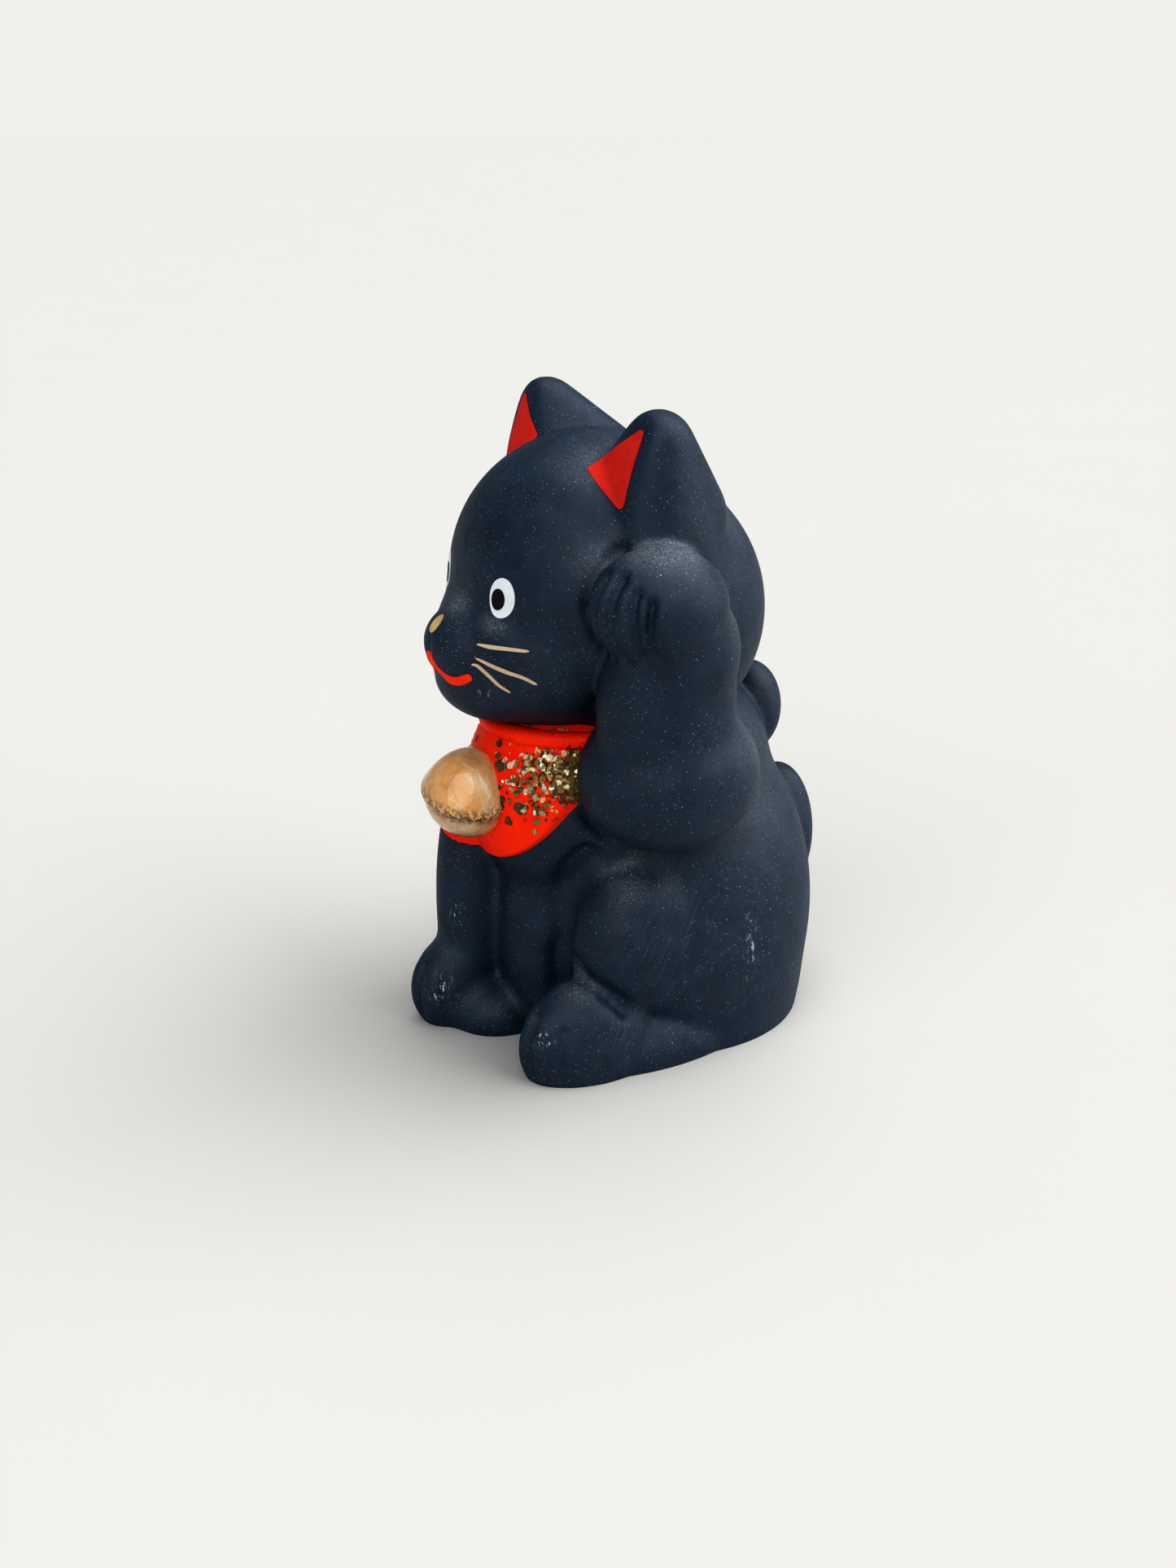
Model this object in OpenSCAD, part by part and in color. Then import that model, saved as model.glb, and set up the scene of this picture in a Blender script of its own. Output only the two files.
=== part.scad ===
// Beckoning cat figurine: a small hollow clay cat that sits upright with its left arm raised.
// Millimetres, +Z up. The cat faces -Y, its left side is +X, and it sits on Z = 0.
//
// The clay is pressed in a front and a back mould, luted together and closed by a base plate.
// The raised arm, the tail and the neck bow are pressed apart and luted on. The bib, the collar
// band and the bell are built up in relief, and the face, ears and flecks are films of paint.
//
// A lump is an egg of clay, [centre, radii, turn]. Each part of the figure is a few lumps run
// together, drawn at the standard size and stretched to the sizes below.

/* [Body] */
// Width of the body across the haunches
body_w = 36.4; // [30:0.2:44]
// Depth of the body from belly to rump
body_d = 37; // [30:0.5:45]
// Height of the body from the base to the top of the shoulders
body_h = 44.6; // [36:0.2:54]
// Length of a hind foot
foot_l = 16.6; // [13:0.2:20]
// Thickness of the single foreleg that stands on the base
foreleg_w = 8.6; // [7:0.2:10.4]

/* [Head] */
// Width of the head
head_w = 36; // [30:0.5:44]
// Depth of the head from brow to nape
head_d = 35.4; // [29:0.2:43]
// Height of the head from chin to crown, without its ears
head_h = 31; // [25:0.5:38]
// Length of an ear from its root inside the head to its tip
ear_l = 21.6; // [17:0.2:26]
// Width of an ear at its root
ear_w = 14; // [11.5:0.5:17]
// Outward lean of an ear, degrees
ear_lean = 14; // [8:1:20]

/* [Raised arm] */
// Thickness of the arm across the elbow
arm_w = 17.6; // [14:0.2:22]
// Width of the raised paw
paw_w = 13.4; // [11:0.2:16.2]

/* [Tail and bow] */
// Length of the tail up the back
tail_l = 17.6; // [14:0.2:22]
// Height of the bow at the nape
bow_h = 11.4; // [9:0.2:14]

/* [Bell, bib and collar] */
// Diameter of the bell across its rim
bell_d = 12; // [10:0.2:14.4]
// Width of the bib
bib_w = 24; // [19:0.5:29]
// Height of the bib from its hem to the collar
bib_h = 16.3; // [13:0.1:20]
// Thickness of the bib's relief
bib_t = 0.6; // [0.4:0.1:0.9]
// Thickness of the rolled collar band
collar_d = 2.2; // [1.9:0.1:2.7]

/* [Painted face] */
// Width of the white of an eye
eye_w = 3.4; // [2.7:0.1:4.1]
// Height of the white of an eye
eye_h = 4.3; // [3.5:0.1:5.2]
// Distance between the middles of the eyes
eye_gap = 14.4; // [12:0.2:17.4]
// Length of the longest whisker
whisker_l = 6.2; // [5:0.1:7.5]
// Thickness of a film of paint
paint_t = 0.15; // [0.1:0.01:0.25]

/* [Clay] */
// Wall of the hollow clay
wall = 3.5; // [2.8:0.1:4.2]
// Thickness of the base plate
base_t = 3; // [2.4:0.1:3.6]
// Diameter of the vent hole in the base plate
vent_d = 5; // [3:0.5:7]

/* [Hidden] */

// Stretch of the body, the head and the arm from their standard sizes
body_k = [body_w / 36.4, body_d / 37, body_h / 44.6];
head_k = [head_w / 36, head_d / 35.4, head_h / 31];
arm_k = arm_w / 17.6;
neck_at = [0, -1.2 * body_k.y, 41 * body_k.z];
seam_y = 4 * body_k.y;

egg_fn = 26;       // facets round a lump
big_egg_fn = 36;   // facets round the head and the rump
overrun = 1;       // how far a cutter runs past what it cuts
reach = 90;        // larger than the whole figure

// Lumps of the body, from the base plane
TORSO = [[[0, 7.5, 13], [18.1, 18.5, 25.5]],
         [[0, 5.6, 31.2], [14, 14.6, 13.4]],
         [[0, 7.6, 8], [17.5, 17.9, 28]],
         [[0, -4, 30], [12, 12.5, 14]],
         [[0, -1.5, 12], [10, 12.4, 20]]];
HAUNCH = [[[9.2, 6, 12], [9, 13, 13]],
          [[10.8, -2.5, 14], [6.8, 7.3, 10]],
          [[10.8, -1, 18.7], [6.2, 6.6, 6]],
          [[10.4, -1, 1.5], [7.6, 15, 6]]];
foot_at = [13.1, -9.3, 3.6];
foot_r = [4.9, foot_l / 2, 7.8];
foot_turn = 6;
foreleg_at = [-6.1, -14.8, 14.5];
foreleg_r = [foreleg_w / 2, foreleg_w / 2 + 0.3, 18];
front_paw_at = [-5.9, -17, 4];
front_paw_r = [foreleg_w / 2 + 0.2, 6.3, 6.6];
WEB = [[-3.2, -13, 1.5], [6, 6.5, 4.5]];       // clay left between the front paw and the other foot

// Lumps of the head, from the neck
SKULL = [[[0, -0.5, 14], [18, 15.9, 16.1]],
         [[0, 3.4, 10.2], [17, 15.5, 16]]];
FACE = [[[0, -7.1, 7.6], [14, 11.6, 9.3]],
        [[0, -12.2, 3.9], [8.5, 7.4, 4.8]],
        [[0, -15.3, 8.1], [6, 5.6, 4.6]]];
ear_at = [10.8, 0, 23.5];
ear_r = [ear_w / 2, 5.7, ear_l / 2];
ear_back_at = [8, 3.7, 24];
ear_back_r = [0.39 * ear_w, 4.6, 0.3 * ear_l];
ear_front_at = [11.5, -3.8, 28.6];             // the flat the lining is painted on
ear_front_turn = [-20, 0, 6];

// Lumps of the raised arm: the elbow, the forearm, the wrist and the paw
ARM = [[[15.7, -0.5, 36], [8.8, 10.3, 8.5]],
       [[17.5, -2, 45], [6, 7.8, 10]],
       [[19, -1.8, 51], [5.4, 6.6, 7]]];
raised_paw_at = [19.5, -4.2, 56.2];
raised_paw_r = [paw_w / 2, paw_w / 2 + 0.8, paw_w / 2 - 0.3];

bow_at = [0, 19.6, 36.2];
bow_r = [4.3, 3.8, bow_h / 2];
tail_at = [0, 24.5, 19];
tail_r = [5.4, 4, tail_l / 2];

bell_at = [0, -17.8 * body_k.y, 32 * body_k.z];
bell_tilt = [2, 15, 0];
bib_top = 39.8 * body_k.z;
bib_round = 0.675 * bib_h;              // height of the bib's rounded hem
collar_at = [0, -3, 38.9];
collar_r = [10.4, 11.3];

eye_z = 14.75;
pupil_in = [-0.4, -0.2];                // shift of a pupil, towards the nose and down
pupil_share = 0.53;                     // size of a pupil as a share of the white
nose_at = [0, 10.7];
nose_r = [1, 0.9];
mouth_r = [2.8, 2.7];                   // half width and sag of each of the mouth's two bows
mouth_at = [2.8, 7.6];
mouth_line_w = 0.9;
WHISKERS = [[[5.7, 9.5], 2, 0.87], [[5.8, 8.1], -19, 1], [[5.4, 7.3], -33, 0.73]];   // root, slope, share
whisker_w = 0.5;
EAR_LINING = [[2.7, 3.9], [-3.7, -0.4], [2.7, -4]];     // corners on the ear's flat, from its middle
lining_round = 0.5;

fleck_t = 0.35;                         // thickness of a fleck of leaf
fleck_seed = 7;
dense_flecks = 34;                      // flecks in the thick patch on each side
loose_flecks = 12;                      // flecks scattered over the rest of the bib

plate_at = [0, 7.5 * body_k.y];
plate_r = [11.5 * body_k.x, 12 * body_k.y];

toe_cut = [0.35, 0.9, 3.3];             // half sizes of the groove between two toes
RAISED_TOES = [-8, 16, 40, 58];         // where the grooves stand round each paw, degrees from its front
FRONT_TOES = [-31, 9, 51];
HIND_TOES = [-25, 12, 52];

clay = [0.09, 0.10, 0.13];
red = [0.86, 0.13, 0.07];
cream = [0.93, 0.91, 0.86];
gold = [0.74, 0.60, 0.38];
pearl = [0.86, 0.76, 0.60];

// ---- lumps ----

// One lump, grown outward by grow
module lump(at, r, turn = [0, 0, 0], grow = 0, fn = egg_fn)
    translate(at) rotate(turn) scale(r + [grow, grow, grow]) sphere(r = 1, $fn = fn);

// Both sides of a paired feature
module pair() {
    children();
    mirror([1, 0, 0]) children();
}

// The torso with its haunches, feet, foreleg and front paw
module torso(grow = 0) scale(body_k) {
    lump(TORSO[0][0], TORSO[0][1], grow = grow, fn = big_egg_fn);
    for (i = [1 : len(TORSO) - 1]) lump(TORSO[i][0], TORSO[i][1], grow = grow);
    pair() for (egg = HAUNCH) lump(egg[0], egg[1], grow = grow);
    pair() lump(foot_at, foot_r, [0, 0, -foot_turn], grow);
    lump(foreleg_at, foreleg_r, grow = grow);
    lump(front_paw_at, front_paw_r, grow = grow);
    lump(WEB[0], WEB[1], grow = grow);
}

// The skull, cheeks, chin and muzzle
module face(grow = 0) translate(neck_at) scale(head_k) {
    for (egg = SKULL) lump(egg[0], egg[1], grow = grow, fn = big_egg_fn);
    for (egg = FACE) lump(egg[0], egg[1], grow = grow);
}

// The cat's left ear before its front is flattened
module ear_lumps(grow = 0) {
    lump(ear_at, ear_r, [0, ear_lean, 0], grow);
    lump(ear_back_at, ear_back_r, [0, ear_lean, 0], grow);
}

// The flat on an ear's front, from its middle
module on_ear_front() translate(ear_front_at) rotate(ear_front_turn) children();

// The cat's left ear
module ear() translate(neck_at) scale(head_k) difference() {
    ear_lumps();
    on_ear_front() translate([-reach / 2, -reach, -reach / 2]) cube(reach);
}

// The whole outside of the two shells, cut flat at the base
module figure_skin() intersection() {
    union() {
        torso();
        face();
        pair() ear();
    }
    translate([-reach / 2, -reach / 2, 0]) cube([reach, reach, reach]);
}

// The hollow left by the slip, one wall inside the skin, above the base plate
module hollow() intersection() {
    union() {
        scale(body_k) {
            lump(TORSO[0][0], TORSO[0][1], grow = -wall);
            lump(TORSO[1][0], TORSO[1][1], grow = -wall);
            lump([0, 2, 40], [6, 6, 8]);
        }
        translate(neck_at) scale(head_k) lump(SKULL[0][0], SKULL[0][1], grow = -wall);
    }
    translate([-reach / 2, -reach / 2, base_t]) cube([reach, reach, reach]);
}

// Upright grooves between the toes of a paw
module toe_grooves(at, r, toes) translate(at)
    for (a = toes) lump([r.x * sin(a), -r.y * cos(a), 0], toe_cut, [0, 0, a]);

// Grooves of the two hind feet and of the front paw
module standing_toe_grooves() scale(body_k) {
    pair() translate(foot_at) rotate(-foot_turn) toe_grooves([0, 0, 0], foot_r, HIND_TOES);
    toe_grooves(front_paw_at, front_paw_r, FRONT_TOES);
}

// The two shells before they part at the seam
module clay_body() difference() {
    figure_skin();
    hollow();
    standing_toe_grooves();
    plate_shape(-overrun, base_t);
}

// An upright oval block from z = low to z = high, the shape of the base plate
module plate_shape(low, high)
    translate([plate_at.x, plate_at.y, low]) linear_extrude(high - low)
        polygon([for (a = [0 : 7.5 : 352.5]) [plate_r.x * cos(a), plate_r.y * sin(a)]]);

// The raised arm's lumps
module arm_lumps() scale(body_k) {
    for (egg = ARM) lump(egg[0], arm_k * egg[1]);
    lump(raised_paw_at, raised_paw_r);
}

// Clay has no true cylinders: keeps a figure of many lumps as one faceted skin
module clay_mesh() resize([0, 0, 0]) children();

// A block that runs forward from y = from, in the shape of its flat child seen from the front
module forward_block(from = -5)
    translate([0, from, 0]) rotate([90, 0, 0]) linear_extrude(reach / 2) children();

// A film of paint on the face, in the shape of its flat child drawn from the neck
module face_paint(layer = 1) difference() {
    intersection() {
        face(layer * paint_t);
        translate([0, 0, neck_at.z]) forward_block() scale([head_k.x, head_k.z]) children();
    }
    face((layer - 1) * paint_t);
}

module oval(r) scale([r.x, r.y]) circle(r = 1, $fn = 32);

// ---- sub-parts ----

module front_half_shell() color(clay) clay_mesh() difference() {
    clay_body();
    translate([-reach / 2, seam_y, -reach / 4]) cube([reach, reach, reach * 1.5]);
}

module back_half_shell() color(clay) clay_mesh() difference() {
    clay_body();
    translate([-reach / 2, seam_y - reach, -reach / 4]) cube([reach, reach, reach * 1.5]);
}

module base_plate() color(clay) difference() {
    plate_shape(0, base_t);
    translate([plate_at.x, plate_at.y, -overrun]) cylinder(h = base_t + 2 * overrun, d = vent_d, $fn = 48);
}

module raised_arm() color(clay) clay_mesh() difference() {
    arm_lumps();
    figure_skin();
    scale(body_k) toe_grooves(raised_paw_at, raised_paw_r, RAISED_TOES);
}

module tail() color(clay) clay_mesh() difference() {
    scale(body_k) lump(tail_at, tail_r);
    figure_skin();
}

module neck_bow() color(clay) clay_mesh() difference() {
    scale(body_k) lump(bow_at, bow_r);
    figure_skin();
}

// The bib's outline from the front: round at the hem, straight up to the collar
module bib_outline() {
    translate([0, bib_top - bib_h + bib_round]) scale([bib_w / 2, bib_round]) circle(r = 1, $fn = 48);
    translate([-bib_w / 2, bib_top - bib_h + bib_round]) square([bib_w, bib_h - bib_round + 2]);
}

module bib() color(red) clay_mesh() difference() {
    intersection() {
        torso(bib_t);
        forward_block(-2) bib_outline();
    }
    figure_skin();
    arm_lumps();
}

// The rolled band, before it is cut to the neck it lies on
module collar_ring() scale(body_k) translate(collar_at)
    scale([1, collar_r.y / collar_r.x, 1])
        rotate_extrude($fn = 64) translate([collar_r.x, 0]) circle(d = collar_d, $fn = 16);

module collar_band() color(red) clay_mesh() difference() {
    intersection() {
        collar_ring();
        forward_block(-4 * body_k.y) translate([-reach / 2, 0]) square(reach);
    }
    torso(bib_t);
    figure_skin();
    arm_lumps();
}

// Half outline of the bell: a coned top and a round underside that meet at a sharp rim
module bell_outline() {
    rim = bell_d / 2;
    polygon(concat([[0, 0.8 * rim], [0.3 * rim, 0.74 * rim], [0.62 * rim, 0.45 * rim], [0.9 * rim, 0.13 * rim],
                    [rim, 0.05 * rim], [rim, -0.04 * rim]],
                   [for (a = [-15 : -15 : -90]) [0.95 * rim * cos(a), 0.98 * rim * sin(a)]]));
}

module bell_shape()
    translate(bell_at) rotate(bell_tilt) rotate_extrude($fn = 40) bell_outline();

module bell() color(pearl) clay_mesh() difference() {
    bell_shape();
    torso(bib_t);
    figure_skin();
    collar_ring();
}

// One fleck of leaf, a small uneven five-sided chip
module fleck(at, size, turn) translate(at) rotate(turn)
    polygon([for (i = [0 : 4]) size * (0.8 + 0.2 * cos(i * 130)) * [cos(i * 72), sin(i * 72)]]);

// Flecks crowd the sides of the bib and thin out towards the middle
module fleck_field() {
    across = rands(0.42, 0.98, dense_flecks, fleck_seed);
    up = rands(0.28, 0.92, dense_flecks, fleck_seed + 1);
    for (i = [0 : dense_flecks - 1])
        fleck([across[i] * bib_w / 2, bib_top - bib_h * (1 - up[i])], 0.45, i * 77);
    loose_across = rands(-0.9, 0.8, loose_flecks, fleck_seed + 2);
    loose_up = rands(0.1, 0.9, loose_flecks, fleck_seed + 3);
    for (i = [0 : loose_flecks - 1])
        fleck([loose_across[i] * bib_w / 2, bib_top - bib_h * (1 - loose_up[i])], 0.38, i * 53);
}

module gold_flecks() color(gold) clay_mesh() difference() {
    intersection() {
        torso(bib_t + fleck_t);
        forward_block(-2) intersection() {
            fleck_field();
            bib_outline();
        }
    }
    torso(bib_t);
    figure_skin();
    arm_lumps();
    collar_ring();
    bell_shape();
}

module ear_lining() color(red) clay_mesh() difference() {
    translate(neck_at) scale(head_k) intersection() {
        ear_lumps(paint_t);
        on_ear_front() rotate([90, 0, 0]) linear_extrude(paint_t)
            offset(r = lining_round, $fn = 16) polygon(EAR_LINING);
    }
    face();
}

module eye_white() color(cream) clay_mesh()
    face_paint() translate([eye_gap / 2, eye_z]) oval([eye_w / 2, eye_h / 2]);

module pupil() color(clay) clay_mesh()
    face_paint(2) translate([eye_gap / 2, eye_z] + pupil_in) oval(pupil_share / 2 * [eye_w, eye_h]);

module nose_dot() color(gold) clay_mesh() face_paint() translate(nose_at) oval(nose_r);

// Two hanging bows that meet under the nose
module mouth_line() color(red) clay_mesh() face_paint()
    for (side = [-1, 1]) for (a = [180 : 18 : 306]) hull() for (b = [a, a + 18])
        translate([side * (mouth_at.x + mouth_r.x * cos(b)), mouth_at.y + mouth_r.y * sin(b)])
            circle(d = mouth_line_w, $fn = 12);

module whiskers() color(gold) clay_mesh() face_paint()
    for (w = WHISKERS) hull() {
        translate(w[0]) circle(d = whisker_w, $fn = 10);
        translate(w[0] + whisker_l * w[2] * [cos(w[1]), sin(w[1])]) circle(d = whisker_w * 0.6, $fn = 10);
    }

// The cat's right side repeats its left
module on_right() mirror([1, 0, 0]) children();

front_half_shell();
back_half_shell();
base_plate();
raised_arm();
tail();
neck_bow();
bib();
collar_band();
bell();
gold_flecks();
ear_lining();  // ear_lining_left
on_right() ear_lining();  // ear_lining_right
eye_white();  // eye_white_left
on_right() eye_white();  // eye_white_right
pupil();  // pupil_left
on_right() pupil();  // pupil_right
nose_dot();
mouth_line();
whiskers();  // whiskers_left
on_right() whiskers();  // whiskers_right
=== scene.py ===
"""Looks of the beckoning cat figurine: smoothed clay, brushed paint, relief bib, bell and gold leaf.

The clay is kneaded from eggs of clay given in millimetres in the figure's own frame: +Z up,
the cat faces -Y, its left side is +X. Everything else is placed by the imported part's own boxes.
"""

import logging
import math
from dataclasses import dataclass, field
from enum import Enum
from typing import Sequence

import bpy
import numpy as np
from mathutils import Euler, Matrix, Vector


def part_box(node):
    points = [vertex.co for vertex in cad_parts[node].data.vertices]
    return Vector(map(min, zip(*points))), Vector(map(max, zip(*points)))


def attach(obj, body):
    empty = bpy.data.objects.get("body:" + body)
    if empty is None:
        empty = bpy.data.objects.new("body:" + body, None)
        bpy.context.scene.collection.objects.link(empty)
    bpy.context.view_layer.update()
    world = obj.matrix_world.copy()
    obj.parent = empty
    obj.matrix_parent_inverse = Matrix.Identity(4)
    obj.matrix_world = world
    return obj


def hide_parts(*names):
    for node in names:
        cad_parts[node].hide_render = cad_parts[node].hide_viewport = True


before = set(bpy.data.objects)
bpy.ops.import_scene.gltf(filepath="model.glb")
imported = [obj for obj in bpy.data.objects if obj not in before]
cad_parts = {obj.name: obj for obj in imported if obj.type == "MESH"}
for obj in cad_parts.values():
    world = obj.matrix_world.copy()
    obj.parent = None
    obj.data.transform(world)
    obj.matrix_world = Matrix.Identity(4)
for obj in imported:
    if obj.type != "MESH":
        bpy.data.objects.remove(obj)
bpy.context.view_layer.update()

LOG = logging.getLogger("beckoning_cat")
MM = 0.001
Point = tuple[float, float, float]


class Side(Enum):
    """Sides of the cat itself, with the sign of x on each."""

    LEFT = 1
    RIGHT = -1

    @property
    def word(self) -> str:
        """Returns the side as the names of the pieces spell it."""
        return self.name.lower()


# ---------------------------------------------------------------------------------------------
# Clay and hand tools
# ---------------------------------------------------------------------------------------------


@dataclass(frozen=True)
class Egg:
    """One egg-shaped lump of clay, in millimetres and degrees."""

    at: Point
    radii: Point
    lean: float = 0.0
    turn: float = 0.0
    tip: float = 0.0

    def mirrored(self) -> "Egg":
        """Returns the same lump on the cat's other side."""
        x, y, z = self.at
        return Egg((-x, y, z), self.radii, -self.lean, -self.turn, self.tip)

    def rotation(self) -> Euler:
        """Returns the lump's turn: tipped about X, leaned about Y, then turned about Z."""
        return Euler((math.radians(self.tip), math.radians(self.lean), math.radians(self.turn)))

    def nearness(self, points: np.ndarray) -> np.ndarray:
        """Says how far points lie from the lump's skin.

        Args:
            points: N x 3 places in millimetres.

        Returns:
            N rough distances in millimetres, negative inside the lump.
        """
        turn = np.array(self.rotation().to_matrix())
        local = (points - np.array(self.at)) @ turn
        radii = np.array(self.radii)
        share = np.linalg.norm(local / radii, axis=1)
        slope = np.maximum(np.linalg.norm(local / radii**2, axis=1), 1e-9)
        return share * (share - 1.0) / slope


def both_sides(eggs: Sequence[Egg]) -> list[Egg]:
    """Returns the lumps and their mirror images."""
    return [*eggs, *(egg.mirrored() for egg in eggs)]


def nearest(eggs: Sequence[Egg], points: np.ndarray) -> np.ndarray:
    """Returns each point's rough distance to the nearest of several lumps."""
    return np.min([egg.nearness(points) for egg in eggs], axis=0)


class Bench:
    """The hand tools. Each leaves its piece selected and active, in object mode."""

    @staticmethod
    def clear() -> None:
        """Leaves edit mode and deselects everything."""
        if bpy.context.object is not None and bpy.context.object.mode != "OBJECT":
            bpy.ops.object.mode_set(mode="OBJECT")
        bpy.ops.object.select_all(action="DESELECT")

    @staticmethod
    def take(piece: bpy.types.Object) -> None:
        """Selects one piece and makes it active."""
        Bench.clear()
        piece.select_set(True)
        bpy.context.view_layer.objects.active = piece

    @staticmethod
    def settle(name: str) -> bpy.types.Object:
        """Applies the active piece's place, turn and scale to its mesh and names it."""
        bpy.ops.object.transform_apply(location=True, rotation=True, scale=True)
        piece = bpy.context.object
        piece.name = name
        return piece

    @staticmethod
    def egg(lump: Egg, segments: int = 48, grow: float = 0.0) -> bpy.types.Object:
        """Rolls one lump, grown outward by some millimetres.

        Args:
            lump: The lump to roll.
            segments: Facets round it.
            grow: Millimetres added to each radius.

        Returns:
            The new piece.
        """
        Bench.clear()
        bpy.ops.mesh.primitive_uv_sphere_add(
            segments=segments,
            ring_count=segments // 2,
            radius=1.0,
            location=Vector(lump.at) * MM,
            rotation=lump.rotation(),
            scale=[(r + grow) * MM for r in lump.radii],
        )
        return Bench.settle("lump")

    @staticmethod
    def join(pieces: Sequence[bpy.types.Object], name: str) -> bpy.types.Object:
        """Presses several pieces together into one object.

        Args:
            pieces: The pieces; the first one keeps its object.
            name: Name of the result.

        Returns:
            The joined piece.
        """
        Bench.clear()
        for piece in pieces:
            piece.select_set(True)
        bpy.context.view_layer.objects.active = pieces[0]
        if len(pieces) > 1:
            bpy.ops.object.join()
        pieces[0].name = name
        return pieces[0]

    @staticmethod
    def copy(piece: bpy.types.Object, name: str) -> bpy.types.Object:
        """Returns a copy with its own mesh."""
        twin = piece.copy()
        twin.data = piece.data.copy()
        twin.name = name
        bpy.context.scene.collection.objects.link(twin)
        return twin

    @staticmethod
    def discard(*pieces: bpy.types.Object) -> None:
        """Throws scrap pieces away."""
        for piece in pieces:
            mesh = piece.data
            bpy.data.objects.remove(piece)
            if mesh.users == 0:
                bpy.data.meshes.remove(mesh)

    @staticmethod
    def finish_modifier(piece: bpy.types.Object, kind: str, **settings: object) -> None:
        """Adds a modifier, sets it and applies it.

        Args:
            piece: The piece to work.
            kind: The modifier's type.
            **settings: Its properties.
        """
        Bench.take(piece)
        work = piece.modifiers.new("work", kind)
        for key, value in settings.items():
            setattr(work, key, value)
        bpy.ops.object.modifier_apply(modifier=work.name)

    @staticmethod
    def knead(piece: bpy.types.Object, grain: float) -> None:
        """Presses overlapping lumps into one skin with faces of about grain millimetres."""
        Bench.finish_modifier(piece, "REMESH", mode="VOXEL", voxel_size=grain * MM, use_smooth_shade=True)

    @staticmethod
    def smooth(piece: bpy.types.Object, strokes: int) -> None:
        """Smooths the skin with a number of light strokes."""
        if strokes > 0:
            Bench.finish_modifier(piece, "SMOOTH", factor=0.5, iterations=strokes)

    @staticmethod
    def swell(piece: bpy.types.Object, amount: float) -> None:
        """Moves the skin outward by some millimetres."""
        Bench.finish_modifier(piece, "DISPLACE", strength=amount * MM, mid_level=0.0)

    @staticmethod
    def blend(piece: bpy.types.Object, grain: float, strokes: int, restore: float) -> None:
        """Kneads, smooths and swells a piece back to its size.

        Args:
            piece: Joined lumps.
            grain: Face size in millimetres.
            strokes: Smoothing strokes.
            restore: Millimetres of swelling that make up for what smoothing took off.
        """
        Bench.knead(piece, grain)
        Bench.smooth(piece, strokes)
        if restore:
            Bench.swell(piece, restore)

    @staticmethod
    def cut(piece: bpy.types.Object, tool: bpy.types.Object, operation: str = "DIFFERENCE") -> None:
        """Cuts a piece with a closed tool, or keeps only what lies in it."""
        Bench.finish_modifier(piece, "BOOLEAN", object=tool, operation=operation, solver="MANIFOLD")

    @staticmethod
    def slice_off(piece: bpy.types.Object, at: Vector, outward: Vector) -> None:
        """Slices a piece with a plane and closes the cut.

        Args:
            piece: The piece to slice.
            at: A point on the plane, in metres.
            outward: The plane's normal; what lies on that side goes.
        """
        Bench.take(piece)
        bpy.ops.object.mode_set(mode="EDIT")
        bpy.ops.mesh.select_all(action="SELECT")
        bpy.ops.mesh.bisect(plane_co=at, plane_no=outward, use_fill=True, clear_outer=True, threshold=1e-8)
        bpy.ops.object.mode_set(mode="OBJECT")

    @staticmethod
    def whole_stars(piece: bpy.types.Object, chosen: np.ndarray) -> np.ndarray:
        """Widens a choice of faces until its border never touches itself at a vertex.

        Args:
            piece: The piece whose faces are chosen.
            chosen: One flag a face.

        Returns:
            The widened flags.
        """
        mesh = piece.data
        owner = np.repeat(np.arange(len(mesh.polygons)), [p.loop_total for p in mesh.polygons])
        corner = np.empty(len(mesh.loops), dtype=np.int64)
        edge = np.empty(len(mesh.loops), dtype=np.int64)
        mesh.loops.foreach_get("vertex_index", corner)
        mesh.loops.foreach_get("edge_index", edge)
        ends = np.empty(len(mesh.edges) * 2, dtype=np.int64)
        mesh.edges.foreach_get("vertices", ends)
        ends = ends.reshape(-1, 2)
        for _ in range(20):
            sides = np.bincount(edge[chosen[owner]], minlength=len(mesh.edges))
            meets = np.bincount(ends[sides == 1].ravel(), minlength=len(mesh.vertices))
            pinched = meets > 2
            if not pinched.any():
                break
            chosen = chosen.copy()
            chosen[owner[pinched[corner]]] = True
        return chosen

    @staticmethod
    def shade(piece: bpy.types.Object, angle: float = 50.0) -> None:
        """Shades a piece smooth, with crisp edges past an angle in degrees."""
        Bench.take(piece)
        bpy.ops.object.shade_smooth_by_angle(angle=math.radians(angle))

    @staticmethod
    def points(piece: bpy.types.Object) -> np.ndarray:
        """Returns a piece's vertices in millimetres."""
        flat = np.empty(len(piece.data.vertices) * 3)
        piece.data.vertices.foreach_get("co", flat)
        return flat.reshape(-1, 3) / MM

    @staticmethod
    def weigh(piece: bpy.types.Object, weights: np.ndarray, name: str = "mask") -> str:
        """Marks vertices with weights from 0 to 1 in a vertex group.

        Args:
            piece: The piece to mark.
            weights: One weight a vertex.
            name: Name of the group.

        Returns:
            The group's name.
        """
        group = piece.vertex_groups.new(name=name)
        for index in np.nonzero(weights > 0.004)[0]:
            group.add([int(index)], float(min(1.0, weights[index])), "REPLACE")
        return group.name

    @staticmethod
    def press(piece: bpy.types.Object, weights: np.ndarray, depth: float) -> None:
        """Presses the skin inward where weights say, by depth millimetres at most."""
        mask = Bench.weigh(piece, weights)
        Bench.finish_modifier(piece, "DISPLACE", strength=-depth * MM, mid_level=0.0, vertex_group=mask)
        piece.vertex_groups.clear()


# ---------------------------------------------------------------------------------------------
# Node recipes
# ---------------------------------------------------------------------------------------------

Socket = bpy.types.NodeSocket


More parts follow.
